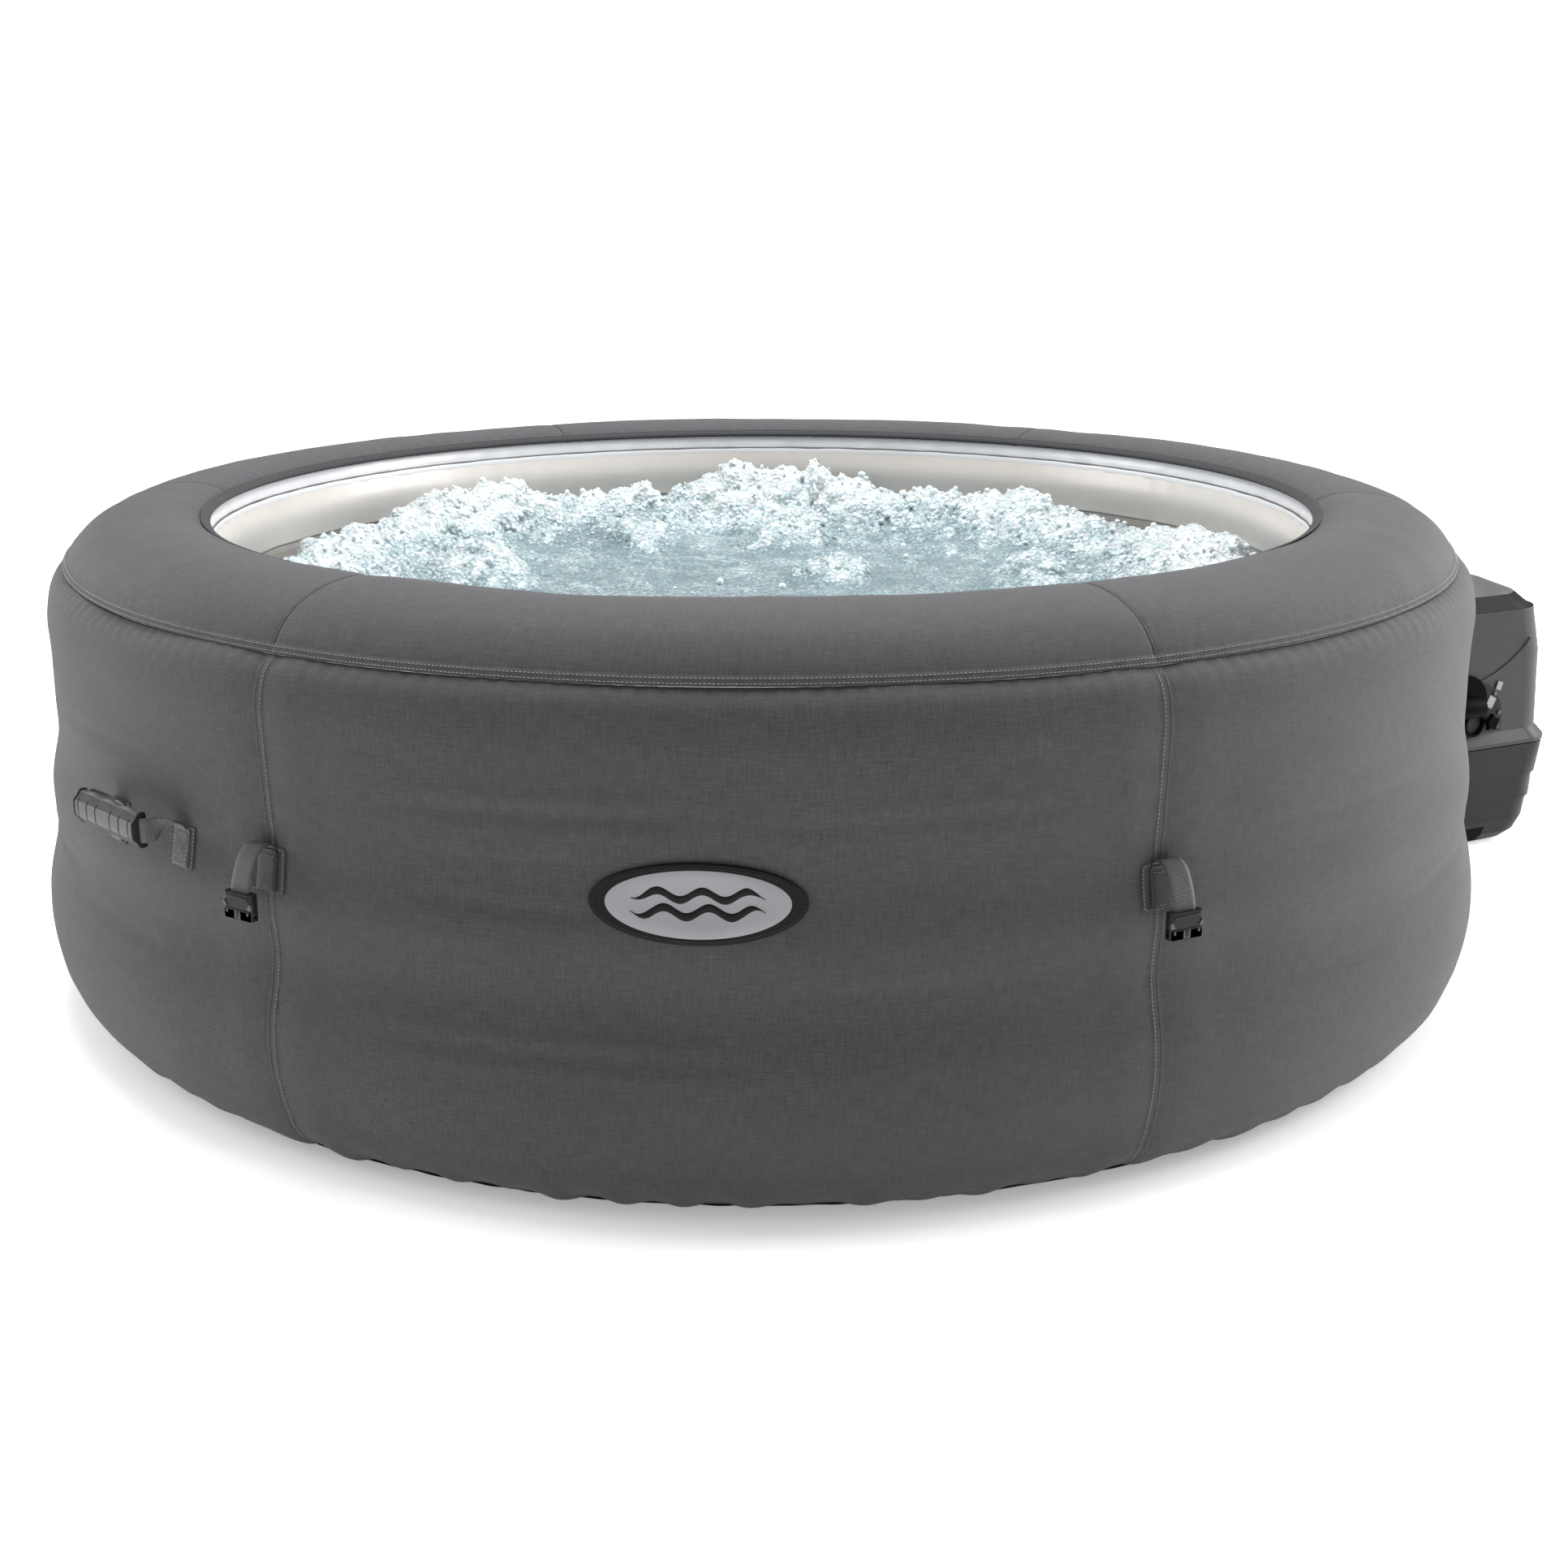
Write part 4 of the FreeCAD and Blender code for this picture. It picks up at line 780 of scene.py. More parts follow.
def make_badge():
    backing = wall_plate("badge_backing_oval", oval_outline(*BADGE_BACKING_SIZE), 0.0, BADGE_HEIGHT,
                         0.0022, 0.0024, 0.0010, BADGE_BLACK, surface=smooth_wall_at)
    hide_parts("badge_backing")
    face = wall_plate("badge_face_oval", oval_outline(*BADGE_FACE_SIZE), 0.0, BADGE_HEIGHT,
                      0.0042, 0.0012, 0.0006, BADGE_GREY, surface=smooth_wall_at)
    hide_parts("badge_face")
    outline = closed_outline(oval_outline(BADGE_BACKING_SIZE[0] - 0.009, BADGE_BACKING_SIZE[1] - 0.009))
    row = wall_line(outline, 0.0, BADGE_HEIGHT, 0.0046, smooth_wall_at)
    stitches("badge_stitching", [row], DARK_THREAD)
    make_wave_mark()


def make_wave_mark():
    """Two broad waves, a plain mark in place of lettering."""
    length = BADGE_BACKING_SIZE[0] * 0.61
    for index, v in enumerate((-0.0092, 0.0092)):
        u = np.linspace(-length / 2, length / 2, 120)
        reach = smoothstep(length / 2, length / 2 - 0.022, np.abs(u))
        middle = v + 0.0050 * np.sin(u * 2 * math.pi / 0.0465 + index * 0.9)
        half = 0.0003 + 0.0043 * reach
        steps = ((-1, 0.0), (-0.7, 0.0007), (0.0, 0.0009), (0.7, 0.0007), (1, 0.0))
        azimuth = np.degrees(u / WALL_RADIUS)
        rings = [smooth_wall_at(azimuth, BADGE_HEIGHT + middle + side * half, 0.0053 + height)
                 for side, height in steps]
        mark = loft("badge_wave_%d" % (index + 1), np.stack(rings, axis=1), BADGE_BLACK)


def ribbon(name, centres, across, width, thickness, material, body, azimuth):
    """Webbing along a centre line of (t, r, z) points, ribbed across, with firm rounded edges."""
    travelled = distances(centres)
    tangent = unit(np.gradient(centres, travelled, axis=0))
    across = unit(across - (across * tangent).sum(axis=1, keepdims=True) * tangent)
    normal = np.cross(tangent, across)
    wave = RIB_DEPTH * np.abs(np.sin(travelled * math.pi / RIB_PITCH))
    share = np.linspace(-1.0, 1.0, 9)
    profile = thickness / 2 * (1 - 0.55 * np.abs(share)**10)
    ring = []
    for face, order in ((1, 1), (-1, -1)):
        for u, half in zip(share[::order], profile[::order]):
            lift = half + wave * (abs(u) <= 0.93)
            ring.append(centres + across * (u * width / 2) + face * normal * lift[:, None])
    rings = turned(np.stack(ring, axis=1), azimuth)
    return loft(name, rings, material, body)


def wall_radius_at(azimuth, z):
    return float(WALL.read(WALL.distance_at(z))[0] + wall_sag(azimuth, z))


def patch_with_tail(name, azimuth, z, size, tail_width, tail_top, crossed):
    """A sewn patch with a webbing tail on it, box-stitched with a cross where crossed, else stitched across
    its top and bottom.
    """
    patch = wall_plate(name, rounded_outline(size[0], size[1], 0.003), azimuth, z, 0.0002, 0.0016, 0.0006,
                       PATCH_FABRIC)
    border = closed_outline(rounded_outline(size[0] - 0.005, size[1] - 0.005, 0.002))
    rows = [wall_line(border, azimuth, z, 0.0018)]
    low = z - size[1] / 2 + 0.003
    heights = np.linspace(low, z + size[1] / 2 - 0.006, 6)
    path = [(0.0, wall_radius_at(azimuth, height) + 0.0032, height) for height in heights]
    path = smooth_line(path + tail_top, int((size[1] + 0.015) / 0.00045))
    across = np.tile([1.0, 0.0, 0.0], (len(path), 1))
    # Strap tails take the darker webbing: painted shade from the strap over them.
    webbing = WEBBING if crossed else TAIL_WEBBING_PAINTED_SHADE
    tail = ribbon(name + "_tail", path, across, tail_width, STRAP_THICKNESS, webbing, "tub", azimuth)
    half = tail_width / 2 - 0.003
    box = rounded_outline(2 * half, size[1] - 0.016, 0.001)
    reach = box[:, 1].max()
    if crossed:
        lines = [closed_outline(box)]
        lines += [[(-half, -side * reach), (0.0, 0.0), (half, side * reach)] for side in (-1, 1)]
    else:
        lines = [[(-half, height), (0.0, height), (half, height)] for height in (-reach, reach)]
    rows += [wall_line(line, azimuth, z - 0.002, 0.0045) for line in lines]
    stitched = stitches(name + "_stitching", rows, THREAD)
    return patch


def make_straps():
    for index, azimuth in enumerate(STRAP_AZIMUTHS):
        number = index + 1
        body = "cover_strap_%d" % number
        tail_top = [(0.0, 0.9760, 0.3790), (0.0, 0.9772, 0.3812)]
        patch = patch_with_tail("strap_patch_%d" % number, azimuth, STRAP_PATCH_Z, STRAP_PATCH_SIZE,
                                STRAP_WIDTH, tail_top, False)
        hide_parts("sewn_patches")
        line = smooth_line([(0.0, r, z) for r, z in STRAP_PATH], 260)
        across = np.tile([1.0, 0.0, 0.0], (len(line), 1))
        # The strap takes the darker webbing: painted shade.
        strap = ribbon("strap_webbing_%d" % number, line, across, STRAP_WIDTH, STRAP_THICKNESS,
                       STRAP_WEBBING_PAINTED_SHADE, body, azimuth)
        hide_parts("strap_%d" % number)
        make_buckle(number, azimuth, body)


def tube_ring(half_t, half_r, corner, z, r):
    """A rounded-rectangle ring about (0, r), flat at one height."""
    outline = rounded_outline(2 * half_t, 2 * half_r, corner, 5)
    return np.stack([outline[:, 0], r + outline[:, 1], np.full(len(outline), z)], axis=1)


def make_buckle(number, azimuth, body):
    """Trim on the CAD socket: a raised bar, a lip over the mouth, a guide and two release arms."""
    width, depth, height = BUCKLE_SIZE
    front = BUCKLE_CENTRE_RADIUS + depth / 2
    top = BUCKLE_BOTTOM_Z + height
    low = BUCKLE_BOTTOM_Z
    bars = [("bar", 0.0, width * 0.40, 0.0014, top - 0.0066, top - 0.0026, BUCKLE_PLASTIC),
            # The mouth is a black sheet: painted shade in the buckle's opening.
            ("mouth", 0.0, width * 0.47, 0.0006, low + 0.0004, low + 0.0108, BUCKLE_MOUTH_PAINTED_SHADE),
            ("lip", 0.0, width * 0.47, 0.0010, low + 0.0104, low + 0.0117, BUCKLE_PLASTIC),
            # The guide, the horns and the release arms are a lighter copy of the plastic: painted highlight.
            ("guide", 0.0, 0.0046, 0.0011, low + 0.0012, low + 0.0112, BUCKLE_PAINTED_HIGHLIGHT),
            ("guide_face", 0.0, 0.0034, 0.0014, low + 0.0024, low + 0.0104, BUCKLE_PLASTIC)]
    for side, label in SIDES:
        bars.append(("horn_" + label, side * width * 0.37, 0.0014, 0.0011, low + 0.0066, low + 0.0104,
                     BUCKLE_PAINTED_HIGHLIGHT))
    for label, offset, half_t, half_r, bottom, high, plastic in bars:
        levels = np.linspace(bottom, high, 5)
        swell = [0.75, 0.97, 1.0, 0.97, 0.75]
        rings = np.stack([tube_ring(half_t * (0.96 + 0.04 * s), half_r * s, half_r * s * 0.9, z, front)
                          for z, s in zip(levels, swell)]) + np.array([offset, 0.0, 0.0])
        part = loft("buckle_%s_%d" % (label, number), turned(rings, azimuth), plastic, body)
    for side, label in SIDES:
        outline = [(0.0212, 0.0132), (0.0212, 0.0190), (0.0196, 0.0206), (0.0158, 0.0150), (0.0166, 0.0136)]
        steps = ((1.0, front - 0.0030), (1.0, front + 0.0002), (0.985, front + 0.0009))
        rings = np.array([[(side * t * grow, r, low + z) for t, z in outline] for grow, r in steps])
        arm = loft("buckle_arm_%s_%d" % (label, number), turned(rings, azimuth), BUCKLE_PAINTED_HIGHLIGHT, body,
                   smooth=False)


# ---- handles -------------------------------------------------------------------------------------
# Sides of the grip's outline that make up its flanges, which take a darker copy of the grip plastic: painted
# shade.
GRIP_FLANGE_SIDES = (5, 6, 11, 12)


def grip_section(scallop, groove, pinch):
    """Half of the grip's outline, back to front, as (r, z) from its middle."""
    front = 0.0092 - groove + pinch
    shoulder = 0.0082 - groove * 0.7
    return [(-0.0078, -0.0185), (-0.0085, 0.0), (-0.0078, 0.0185), (-0.0050, 0.0197 + scallop),
            (-0.0012, 0.0199 + scallop), (0.0014, 0.0182 + scallop * 0.6), (0.0048, 0.0130),
            (shoulder, 0.0096), (front, 0.0062), (front, 0.0), (front, -0.0062), (shoulder, -0.0096),
            (0.0048, -0.0130), (0.0014, -0.0185), (-0.0012, -0.0199), (-0.0050, -0.0197)]


def make_grip(number, azimuth, body):
    t = np.linspace(-GRIP_LENGTH / 2, GRIP_LENGTH / 2, 321)
    rings = []
    for value in t:
        nearest = min(abs(abs(value) - offset) for offset in GRIP_GROOVE_OFFSETS)
        groove = 0.0020 * float(smoothstep(0.0014, 0.0005, nearest))
        scallop = 0.0015 * math.cos(value * 2 * math.pi / 0.040)
        end = float(smoothstep(GRIP_LENGTH / 2 - 0.004, GRIP_LENGTH / 2, abs(value)))
        bow = 0.0012 * math.cos(value * math.pi / GRIP_LENGTH)
        ring = [(value, GRIP_RADIUS + r * (1 - 0.10 * end), GRIP_Z + z * (1 - 0.06 * end))
                for r, z in grip_section(scallop * (1 - end), groove, bow * 0.4)]
        rings.append(ring)
    rings = turned(np.array(rings), azimuth)
    grip = loft("grip_body_%d" % number, rings, GRIP_PLASTIC, body)
    grip.data.materials.append(GRIP_FLANGE_PAINTED_SHADE)
    for face in grip.data.polygons[:(rings.shape[0] - 1) * rings.shape[1]]:
        face.material_index = 1 if face.index % rings.shape[1] in GRIP_FLANGE_SIDES else 0
    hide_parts("handle_grip_%d" % number)
    soften(grip, 0.0004)
    for side, label in SIDES:
        collar = []
        for offset, grow in ((0.0, 1.0), (0.0006, 1.06), (0.0034, 1.07), (0.0046, 1.02), (0.0048, 0.96)):
            value = side * (GRIP_LENGTH / 2 - 0.0046 + offset)
            collar.append([(value, GRIP_RADIUS + r * grow, GRIP_Z + z * grow * 0.99)
                           for r, z in grip_section(0.0, 0.0, 0.0)])
        rim = loft("grip_rim_%s_%d" % (label, number), turned(np.array(collar), azimuth), GRIP_DARK, body)


def handle_patch_azimuth(azimuth, side):
    return azimuth + side * math.degrees(HANDLE_PATCH_OFFSET / PATCH_RADIUS)


def make_handle_webbing(number, azimuth):
    """The loop: through the grip, and twisted a quarter turn on its way back to each patch."""
    for side, label in SIDES:
        patch_r = wall_radius_at(handle_patch_azimuth(azimuth, side), GRIP_Z - 0.004) + 0.004
        centres = smooth_line([(side * 0.071, patch_r, TAIL_TOP_Z), (side * 0.0722, patch_r + 0.005, 0.3835),
                               (side * 0.0738, 0.990, 0.3842), (side * 0.0752, 1.003, 0.3836),
                               (side * 0.0748, 1.014, 0.3832), (side * 0.0738, 1.0215, 0.383),
                               (side * 0.0705, 1.0248, 0.383), (side * 0.0640, 1.025, 0.383)], 190)
        share = np.linspace(0.0, 1.0, len(centres))
        twist = np.radians(90.0) * smoothstep(0.12, 0.66, share)
        across = np.stack([np.cos(twist) * side, -0.25 * np.sin(2 * twist), np.sin(twist)], axis=1)
        leg = ribbon("handle_leg_%s_%d" % (label, number), centres, across, LOOP_WIDTH * 0.96,
                     LOOP_THICKNESS, WEBBING, None, azimuth)
        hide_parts("handle_webbing_%d" % number)
        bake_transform(leg)


def make_handles():
    for index, azimuth in enumerate(HANDLE_AZIMUTHS):
        number = index + 1
        body = "handle_%d" % number
        for side, label in SIDES:
            patch_azimuth = handle_patch_azimuth(azimuth, side)
            tail_top = [(0.0, wall_radius_at(patch_azimuth, TAIL_TOP_Z) + 0.0045, TAIL_TOP_Z)]
            patch = patch_with_tail("handle_patch_%s_%d" % (label, number), patch_azimuth, HANDLE_PATCH_Z,
                                    HANDLE_PATCH_SIZE, LOOP_WIDTH, tail_top, True)
            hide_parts("sewn_patches")
        make_grip(number, azimuth, body)
        make_handle_webbing(number, azimuth)


# ---- chamber and water ---------------------------------------------------------------------------
def ring_surface(name, outline, material, relief, radius, segments=900, columns=160):
    """A surface of revolution about the tub's axis, with relief(azimuth, distance) along its normal."""
    azimuth = np.linspace(0.0, 360.0, segments, endpoint=False)
    distance = np.linspace(0.0, outline.length, columns)
    grid, along = np.meshgrid(azimuth, distance, indexing="ij")
    r, z = outline.read(along, relief(grid, along))
    uv = np.stack([np.radians(grid) * radius, along], axis=-1)
    return grid_piece(name, around(grid, r, z), uv, material, wrap=True)


def make_liner():
    def liner_relief(azimuth, distance):
        pleats = waves(azimuth, distance * 30, 41, 8, 110, 1.0, 30)
        near_weld = np.exp(-distance / 0.02) + np.exp(-np.abs(distance - 0.078) / 0.015)
        slow = waves(azimuth, distance, 42, 6, 12, 14.0)
        return -(0.0012 * slow * smoothstep(0.0, 0.05, distance) + 0.0006 * pleats * near_weld)
    liner = ring_surface("liner_wall", Outline(INNER_WALL_OUTLINE), LINER_VINYL, liner_relief, 0.75)
    thicken(liner, 0.0016)
    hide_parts("chamber_inner_wall")
    under_rim = RIM.read(np.linspace(0.0, RIM.length - 0.024, 8), -BAND_INSET)
    band_line = Outline(np.vstack([np.stack(under_rim, axis=1), BAND_LOWER_EDGE]))

    def band_relief(azimuth, distance):
        pleats = waves(azimuth, distance * 20, 43, 8, 90, 1.0, 20)
        return 0.0005 * pleats * smoothstep(band_line.length - 0.03, band_line.length, distance)
    band = ring_surface("rim_band", band_line, WHITE_VINYL, band_relief, 0.77)
    thicken(band, 0.0016)
    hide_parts("chamber_top_band")
    weld_ring("upper_weld", 0.7629, 0.6178, 0.0011, 0.0008, DARK_WELD)
    weld_ring("weld_strip", 0.7622, 0.6118, 0.0009, 0.0052, WHITE_VINYL)
    weld_ring("lower_weld", 0.7595, 0.5410, 0.0012, 0.0012, DARK_WELD)


def weld_ring(name, radius, z, half_r, half_z, material):
    """A welded bead round the inside of the wall."""
    azimuth = np.linspace(0.0, 2 * math.pi, 720, endpoint=False)
    section = np.linspace(0.0, 2 * math.pi, 12, endpoint=False)
    grid, turn = np.meshgrid(azimuth, section, indexing="ij")
    ripple = 0.0003 * waves(np.degrees(grid), 0.0, 44, 6, 60, 1.0, 20)
    r = radius + half_r * np.cos(turn)
    points = around(np.degrees(grid), r, z + ripple + half_z * np.sin(turn))
    index = np.arange(grid.size).reshape(grid.shape)
    ahead = np.roll(index, -1, axis=0)
    faces = np.stack([index, ahead, np.roll(ahead, -1, axis=1), np.roll(index, -1, axis=1)], axis=-1)
    bead = mesh_piece(name, points.reshape(-1, 3), faces.reshape(-1, 4), material, closed=True)


# Without a seed, Blender would shift the turbulence by a different amount on every run.
WATER_SEED = 5
WATER_LEVEL = 0.508
WATER_TOP = 0.640
JET_RING_RADIUS = 0.62
BUBBLE_COUNT = 2200
WATER_RADIUS = 0.7455
# The crest of the foam over the ring of air jets: (azimuth, height).
CREST = [(-180, 0.598), (-175, 0.614), (-171, 0.610), (-167, 0.586), (-161, 0.566), (-157, 0.600),
         (-153, 0.580), (-146, 0.572), (-140, 0.574), (-135, 0.608), (-129, 0.604), (-124, 0.611),
         (-119, 0.599), (-112, 0.578), (-106, 0.565), (-97, 0.594), (-85, 0.584), (-70, 0.562),
         (-50, 0.570), (-25, 0.560), (0, 0.568), (25, 0.556), (50, 0.570), (70, 0.572), (84, 0.592),
         (95, 0.605), (107, 0.580), (112, 0.556), (123, 0.560), (130, 0.568), (136, 0.577), (141, 0.598),
         (146, 0.580), (151, 0.566), (155, 0.583), (165, 0.568), (169, 0.576), (173, 0.600), (175, 0.622),
         (177, 0.600), (180, 0.598)]
# Lower heaps away from the ring: (azimuth, distance from the middle, height, width).
HEAPS = [(143, 0.17, 0.040, 0.050), (-98, 0.44, 0.052, 0.075), (60, 0.34, 0.026, 0.070),
         (-20, 0.30, 0.022, 0.070), (175, 0.42, 0.036, 0.080), (-150, 0.46, 0.040, 0.070),
         (110, 0.44, 0.034, 0.070)]


def water_height(x, y):
    """Smooth part of the water's surface: the foam's ring, lower heaps, and the level between them."""
    azimuth = np.degrees(np.arctan2(x, -y))
    table = np.array(CREST)
    crest = np.interp(azimuth, table[:, 0], table[:, 1])
    past = np.hypot(x, y) - JET_RING_RADIUS
    width = np.where(past < 0, 0.105, 0.085)
    level = WATER_LEVEL + (crest - 0.008 - WATER_LEVEL) * np.exp(-np.abs(past / width)**2.4)
    for azimuth, radius, height, width in HEAPS:
        angle = math.radians(azimuth)
        gap = np.hypot(x - radius * math.sin(angle), y + radius * math.cos(angle))
        level = np.maximum(level, WATER_LEVEL + height * np.exp(-(gap / width)**2.2))
    return level


def cell(point, scale):
    """Rounded cells, from 0 in their gaps to 1 at their tops."""
    return 1.0 - min(noise.voronoi(point * scale)[0][0] * 1.35, 1.0)**2


def make_water():
    noise.seed_set(WATER_SEED)
    step = 0.0052
    count = int(2 * WATER_RADIUS / step) + 1
    axis = np.linspace(-WATER_RADIUS, WATER_RADIUS, count)
    x, y = np.meshgrid(axis, axis, indexing="ij")
    used = np.hypot(x, y) <= WATER_RADIUS
    sway = np.zeros((count, count, 3))
    for i, j in np.argwhere(used):
        sway[i, j] = noise.turbulence_vector(Vector((x[i, j], y[i, j], 0.3)) * 13.0, 3, False)
    sway *= 0.030
    level = water_height(x + sway[..., 0], y + sway[..., 1])
    quads = grid_faces(count, count)
    quads = quads[used.ravel()[quads].all(axis=1)]
    index = np.unique(quads)
    renumber = np.full(count * count, -1)
    renumber[index] = np.arange(len(index))
    points = np.stack([x, y, level], axis=-1).reshape(-1, 3)[index]
    water = mesh_piece("bubbling_water", points, renumber[quads], WATER)
    normals = np.empty(len(points) * 3)
    water.data.vertex_normals.foreach_get("vector", normals)
    normals = normals.reshape(-1, 3)
    lively = 0.35 + 0.65 * smoothstep(WATER_LEVEL, WATER_LEVEL + 0.05, points[:, 2])
    near_wall = smoothstep(WATER_RADIUS, WATER_RADIUS - 0.02, np.hypot(points[:, 0], points[:, 1]))
    swell = []
    for point in points:
        place = Vector(point)
        swell.append(0.016 * cell(place, 24.0) + 0.008 * cell(place, 52.0) + 0.004 * cell(place, 120.0)
                     + 0.008 * noise.noise(place * 15.0) - 0.014)
    points = points + normals * (np.array(swell) * lively * near_wall)[:, None]
    points[:, 2] = np.minimum(points[:, 2], WATER_TOP)
    water.data.vertices.foreach_set("co", points.ravel())
    water.data.update()
    thicken(water, 0.004)
    make_bubbles(points, normals, lively)


def make_bubbles(points, normals, lively):
    """Single bubbles and drops that stand on the rough water."""
    random = np.random.default_rng(61)
    weight = np.clip(lively - 0.3, 0.0, None)**1.5
    chosen = random.choice(len(points), BUBBLE_COUNT, replace=False, p=weight / weight.sum())
    ball = bpy.data.meshes.new("ball")
    shape = bmesh.new()
    bmesh.ops.create_icosphere(shape, subdivisions=2, radius=1.0)
    shape.to_mesh(ball)
    shape.free()
    sphere = np.array([vertex.co for vertex in ball.vertices])
    triangles = np.array([list(face.vertices) for face in ball.polygons])
    bpy.data.meshes.remove(ball)
    radii = 0.0014 + 0.0042 * random.random(BUBBLE_COUNT)**2.2
    centres = points[chosen] + normals[chosen] * (radii * random.uniform(-0.2, 0.9, BUBBLE_COUNT))[:, None]
    squeeze = 1 + random.uniform(-0.25, 0.25, (BUBBLE_COUNT, 1, 3))
    verts = centres[:, None, :] + sphere[None] * radii[:, None, None] * squeeze
    faces = triangles[None] + (np.arange(BUBBLE_COUNT) * len(sphere))[:, None, None]
    mesh_piece("water_bubbles", verts.reshape(-1, 3), faces.reshape(-1, 3), FOAM)


# ---- carried-over CAD nodes ----------------------------------------------------------------------
def soften(piece, width, angle=32.0):
    """Weld split corners and round sharp edges."""
    weld = piece.modifiers.new("weld", "WELD")
    weld.merge_threshold = 0.00002
    bevel = piece.modifiers.new("bevel", "BEVEL")
    bevel.width = width
    bevel.segments = 3
    bevel.limit_method = "ANGLE"
    bevel.angle_limit = math.radians(angle)
    bevel.harden_normals = True
    return piece


def dress(name, material, bevel=0.0):
    """Give a CAD node its material and, where asked, rounded edges."""
    node = nodes[name]
    node.data.materials.clear()
    node.data.materials.append(material)
    if bevel:
        soften(node, bevel)


def paint_light_and_shade_on_upper_shell(shell):
    """Painted shade on the sloping band round the shell, darker than its sides, and painted light on its
    roof.
    """
    shell.data.materials.append(HOUSING_SLOPE_PAINTED_SHADE)
    shell.data.materials.append(HOUSING_ROOF_PAINTED_LIGHT)
    turn = shell.matrix_world.to_3x3()
    for face in shell.data.polygons:
        height = (shell.matrix_world @ face.center).z
        slopes = (turn @ face.normal).z > 0.25
        # Faces above the band get painted light; upward-sloping faces in the band get painted shade.
        if height > HOUSING_BAND_TOP:
            face.material_index = 2
        elif height > HOUSING_SIDE_TOP and slopes:
            face.material_index = 1


# What the CAD nodes are made of: (material, width of their rounded edges, names).
CAD_LOOKS = [(HOUSING, 0.0022, ["base_lower_shell"]), (HOUSING_SIDE, 0.0022, ["base_upper_shell"]),
             (HOUSING, 0.0008, ["service_panel"]), (PANEL_PLASTIC, 0.0012, ["control_panel"]),
             (GLASS, 0.0004, ["display_window"]), (TAG_PLASTIC, 0.0002, ["port_tags"]),
             (BUTTON_PLASTIC, 0.0002, ["button_power", "button_filter", "button_heater", "button_bubbles"]),
             (BUCKLE_PLASTIC, 0.0007, ["buckle_1", "buckle_2", "buckle_3", "buckle_4"]),
             (RUBBER, 0.0009, ["side_port_ring", "hose_outlet", "vent_knob"]),
             (STEEL, 0.0006, ["base_screws"]), (PAPER, 0.0, ["filter_cartridge"]),
             (VALVE_PLASTIC, 0.0006, ["air_valve_body", "air_valve_cap", "drain_pipe", "drain_cap",
                                      "coupling_nut_inlet", "coupling_nut_outlet", "strainers",
                                      "wall_fittings"]),
             (CHAMBER_VINYL, 0.0, ["chamber_outer_wall", "tension_webs", "tub_floor", "bubble_ring"]),
             (PUMP_PLASTIC, 0.0, ["pump_unit", "heater_unit", "air_blower"])]


def dress_cad_nodes():
    for material, bevel, names in CAD_LOOKS:
        for name in names:
            dress(name, material, bevel)
    paint_light_and_shade_on_upper_shell(nodes["base_upper_shell"])


# ---- stage ---------------------------------------------------------------------------------------
def make_floor():
    f = Finish("pale_floor", Roughness=0.9, Specular_IOR_Level=0.1, Emission_Color=(1, 1, 1, 1))
    place = f.place()
    tone = f.mix(f.stretch(f.noise(place, 0.6, 3.0), 0.3, 0.7), 240, 243)
    reach = f.node("VectorMath", {0: place}, "Value", operation="LENGTH")
    # Less glow near the tub's foot: a painted shadow round it.
    near = f.stretch(reach, 0.94, 1.06, FLOOR_GLOW_NEAR, FLOOR_GLOW_MIDDLE)
    glow = f.stretch(reach, 1.5, 3.0, 0.0, FLOOR_GLOW_FAR - FLOOR_GLOW_MIDDLE)
    f.fill(f.shader, {"Base Color": tone, "Emission Strength": f.plus(near, glow)})
    mesh = bpy.data.meshes.new("studio_floor")
    half = 30.0
    corners = [(-half, -half, 0), (half, -half, 0), (half, half, 0), (-half, half, 0)]
    mesh.from_pydata(corners, [], [(0, 1, 2, 3)])
    mesh.materials.append(f.material)
    floor = bpy.data.objects.new("studio_floor", mesh)
    bpy.context.scene.collection.objects.link(floor)


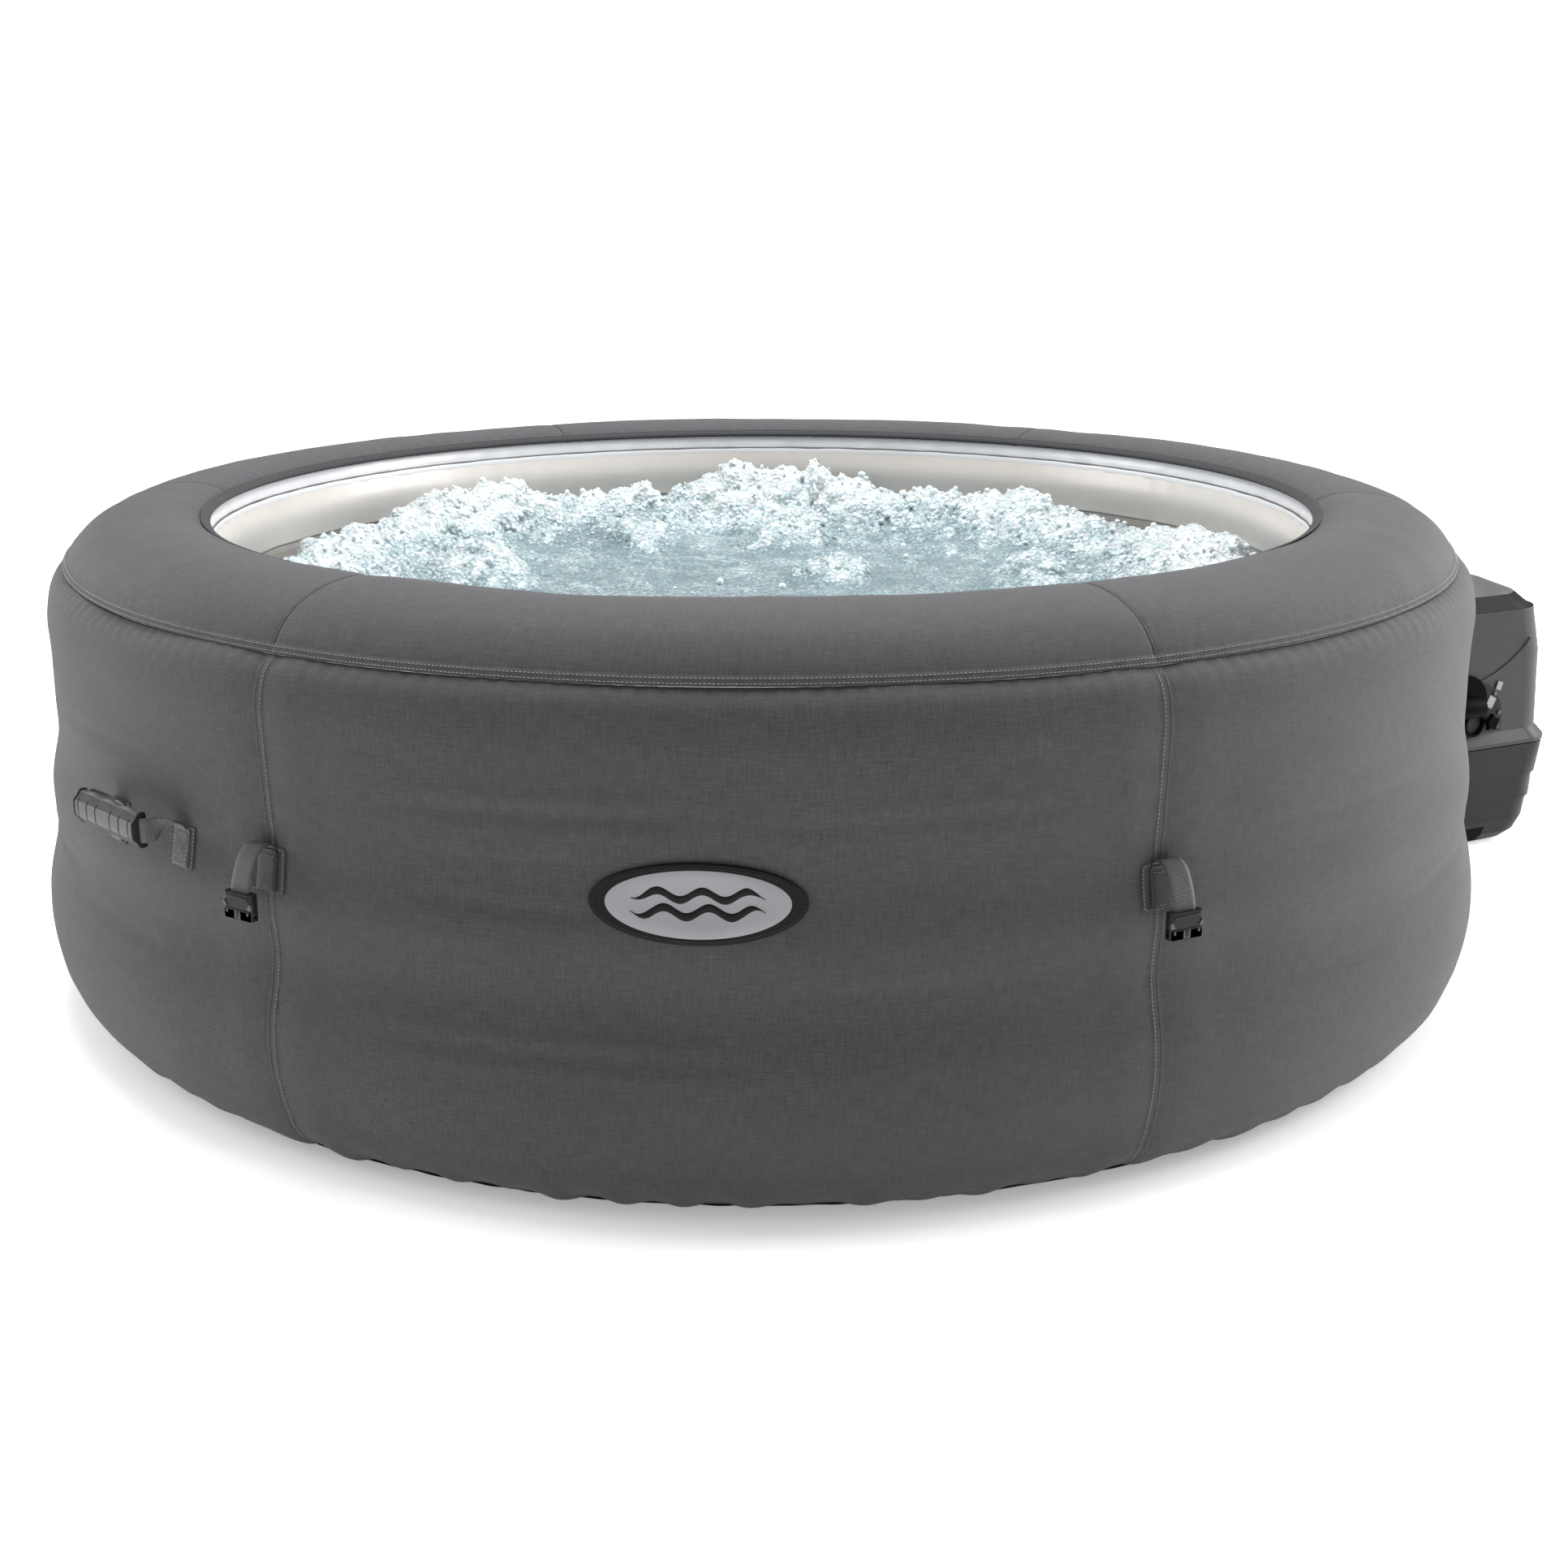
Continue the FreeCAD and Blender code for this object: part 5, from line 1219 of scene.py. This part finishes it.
def area_light(name, location, aim, size, power):
    light = bpy.data.lights.new(name, "AREA")
    light.shape = "RECTANGLE"
    light.size, light.size_y = size
    light.energy = power
    lamp = bpy.data.objects.new(name, light)
    lamp.location = location
    lamp.rotation_euler = (Vector(aim) - Vector(location)).to_track_quat("-Z", "Y").to_euler()
    bpy.context.scene.collection.objects.link(lamp)


def make_lights():
    world = bpy.data.worlds.new("studio")
    world.use_nodes = True
    tree = world.node_tree
    room = tree.nodes["Background"]
    room.inputs["Strength"].default_value = ROOM_LIGHT
    white = tree.nodes.new("ShaderNodeBackground")
    for background in (room, white):
        background.inputs["Color"].default_value = (1.0, 1.0, 1.0, 1.0)
    seen = tree.nodes.new("ShaderNodeLightPath")
    choice = tree.nodes.new("ShaderNodeMixShader")
    tree.links.new(seen.outputs["Is Camera Ray"], choice.inputs[0])
    tree.links.new(room.outputs[0], choice.inputs[1])
    tree.links.new(white.outputs[0], choice.inputs[2])
    tree.links.new(choice.outputs[0], tree.nodes["World Output"].inputs[0])
    bpy.context.scene.world = world
    area_light("overhead", (0.0, 0.5, 4.2), (0.0, 0.1, 0.4), (3.4, 2.8), 270.0)
    area_light("right_side", (4.2, 1.0, 1.9), (0.6, 0.0, 0.4), (2.4, 2.2), 170.0)
    area_light("left_side", (-4.4, 0.2, 1.9), (-0.6, 0.0, 0.4), (2.4, 2.2), 84.0)


def make_camera():
    lens = bpy.data.cameras.new("camera")
    lens.lens = 50.52
    lens.sensor_width = 36.0
    camera = bpy.data.objects.new("camera", lens)
    camera.location = (0.2174, -3.1094, 1.11)
    camera.rotation_euler = (math.radians(74.08), 0.0, math.radians(3.443))
    bpy.context.scene.collection.objects.link(camera)
    bpy.context.scene.camera = camera


make_camera()
make_wall_panels()
make_rim_panels()
make_binding()
make_hem()
make_seam_stitches()
make_seam_lines()
make_badge()
make_straps()
make_handles()
make_liner()
make_water()
dress_cad_nodes()
make_floor()
make_lights()
bpy.context.scene.view_settings.view_transform = "Standard"
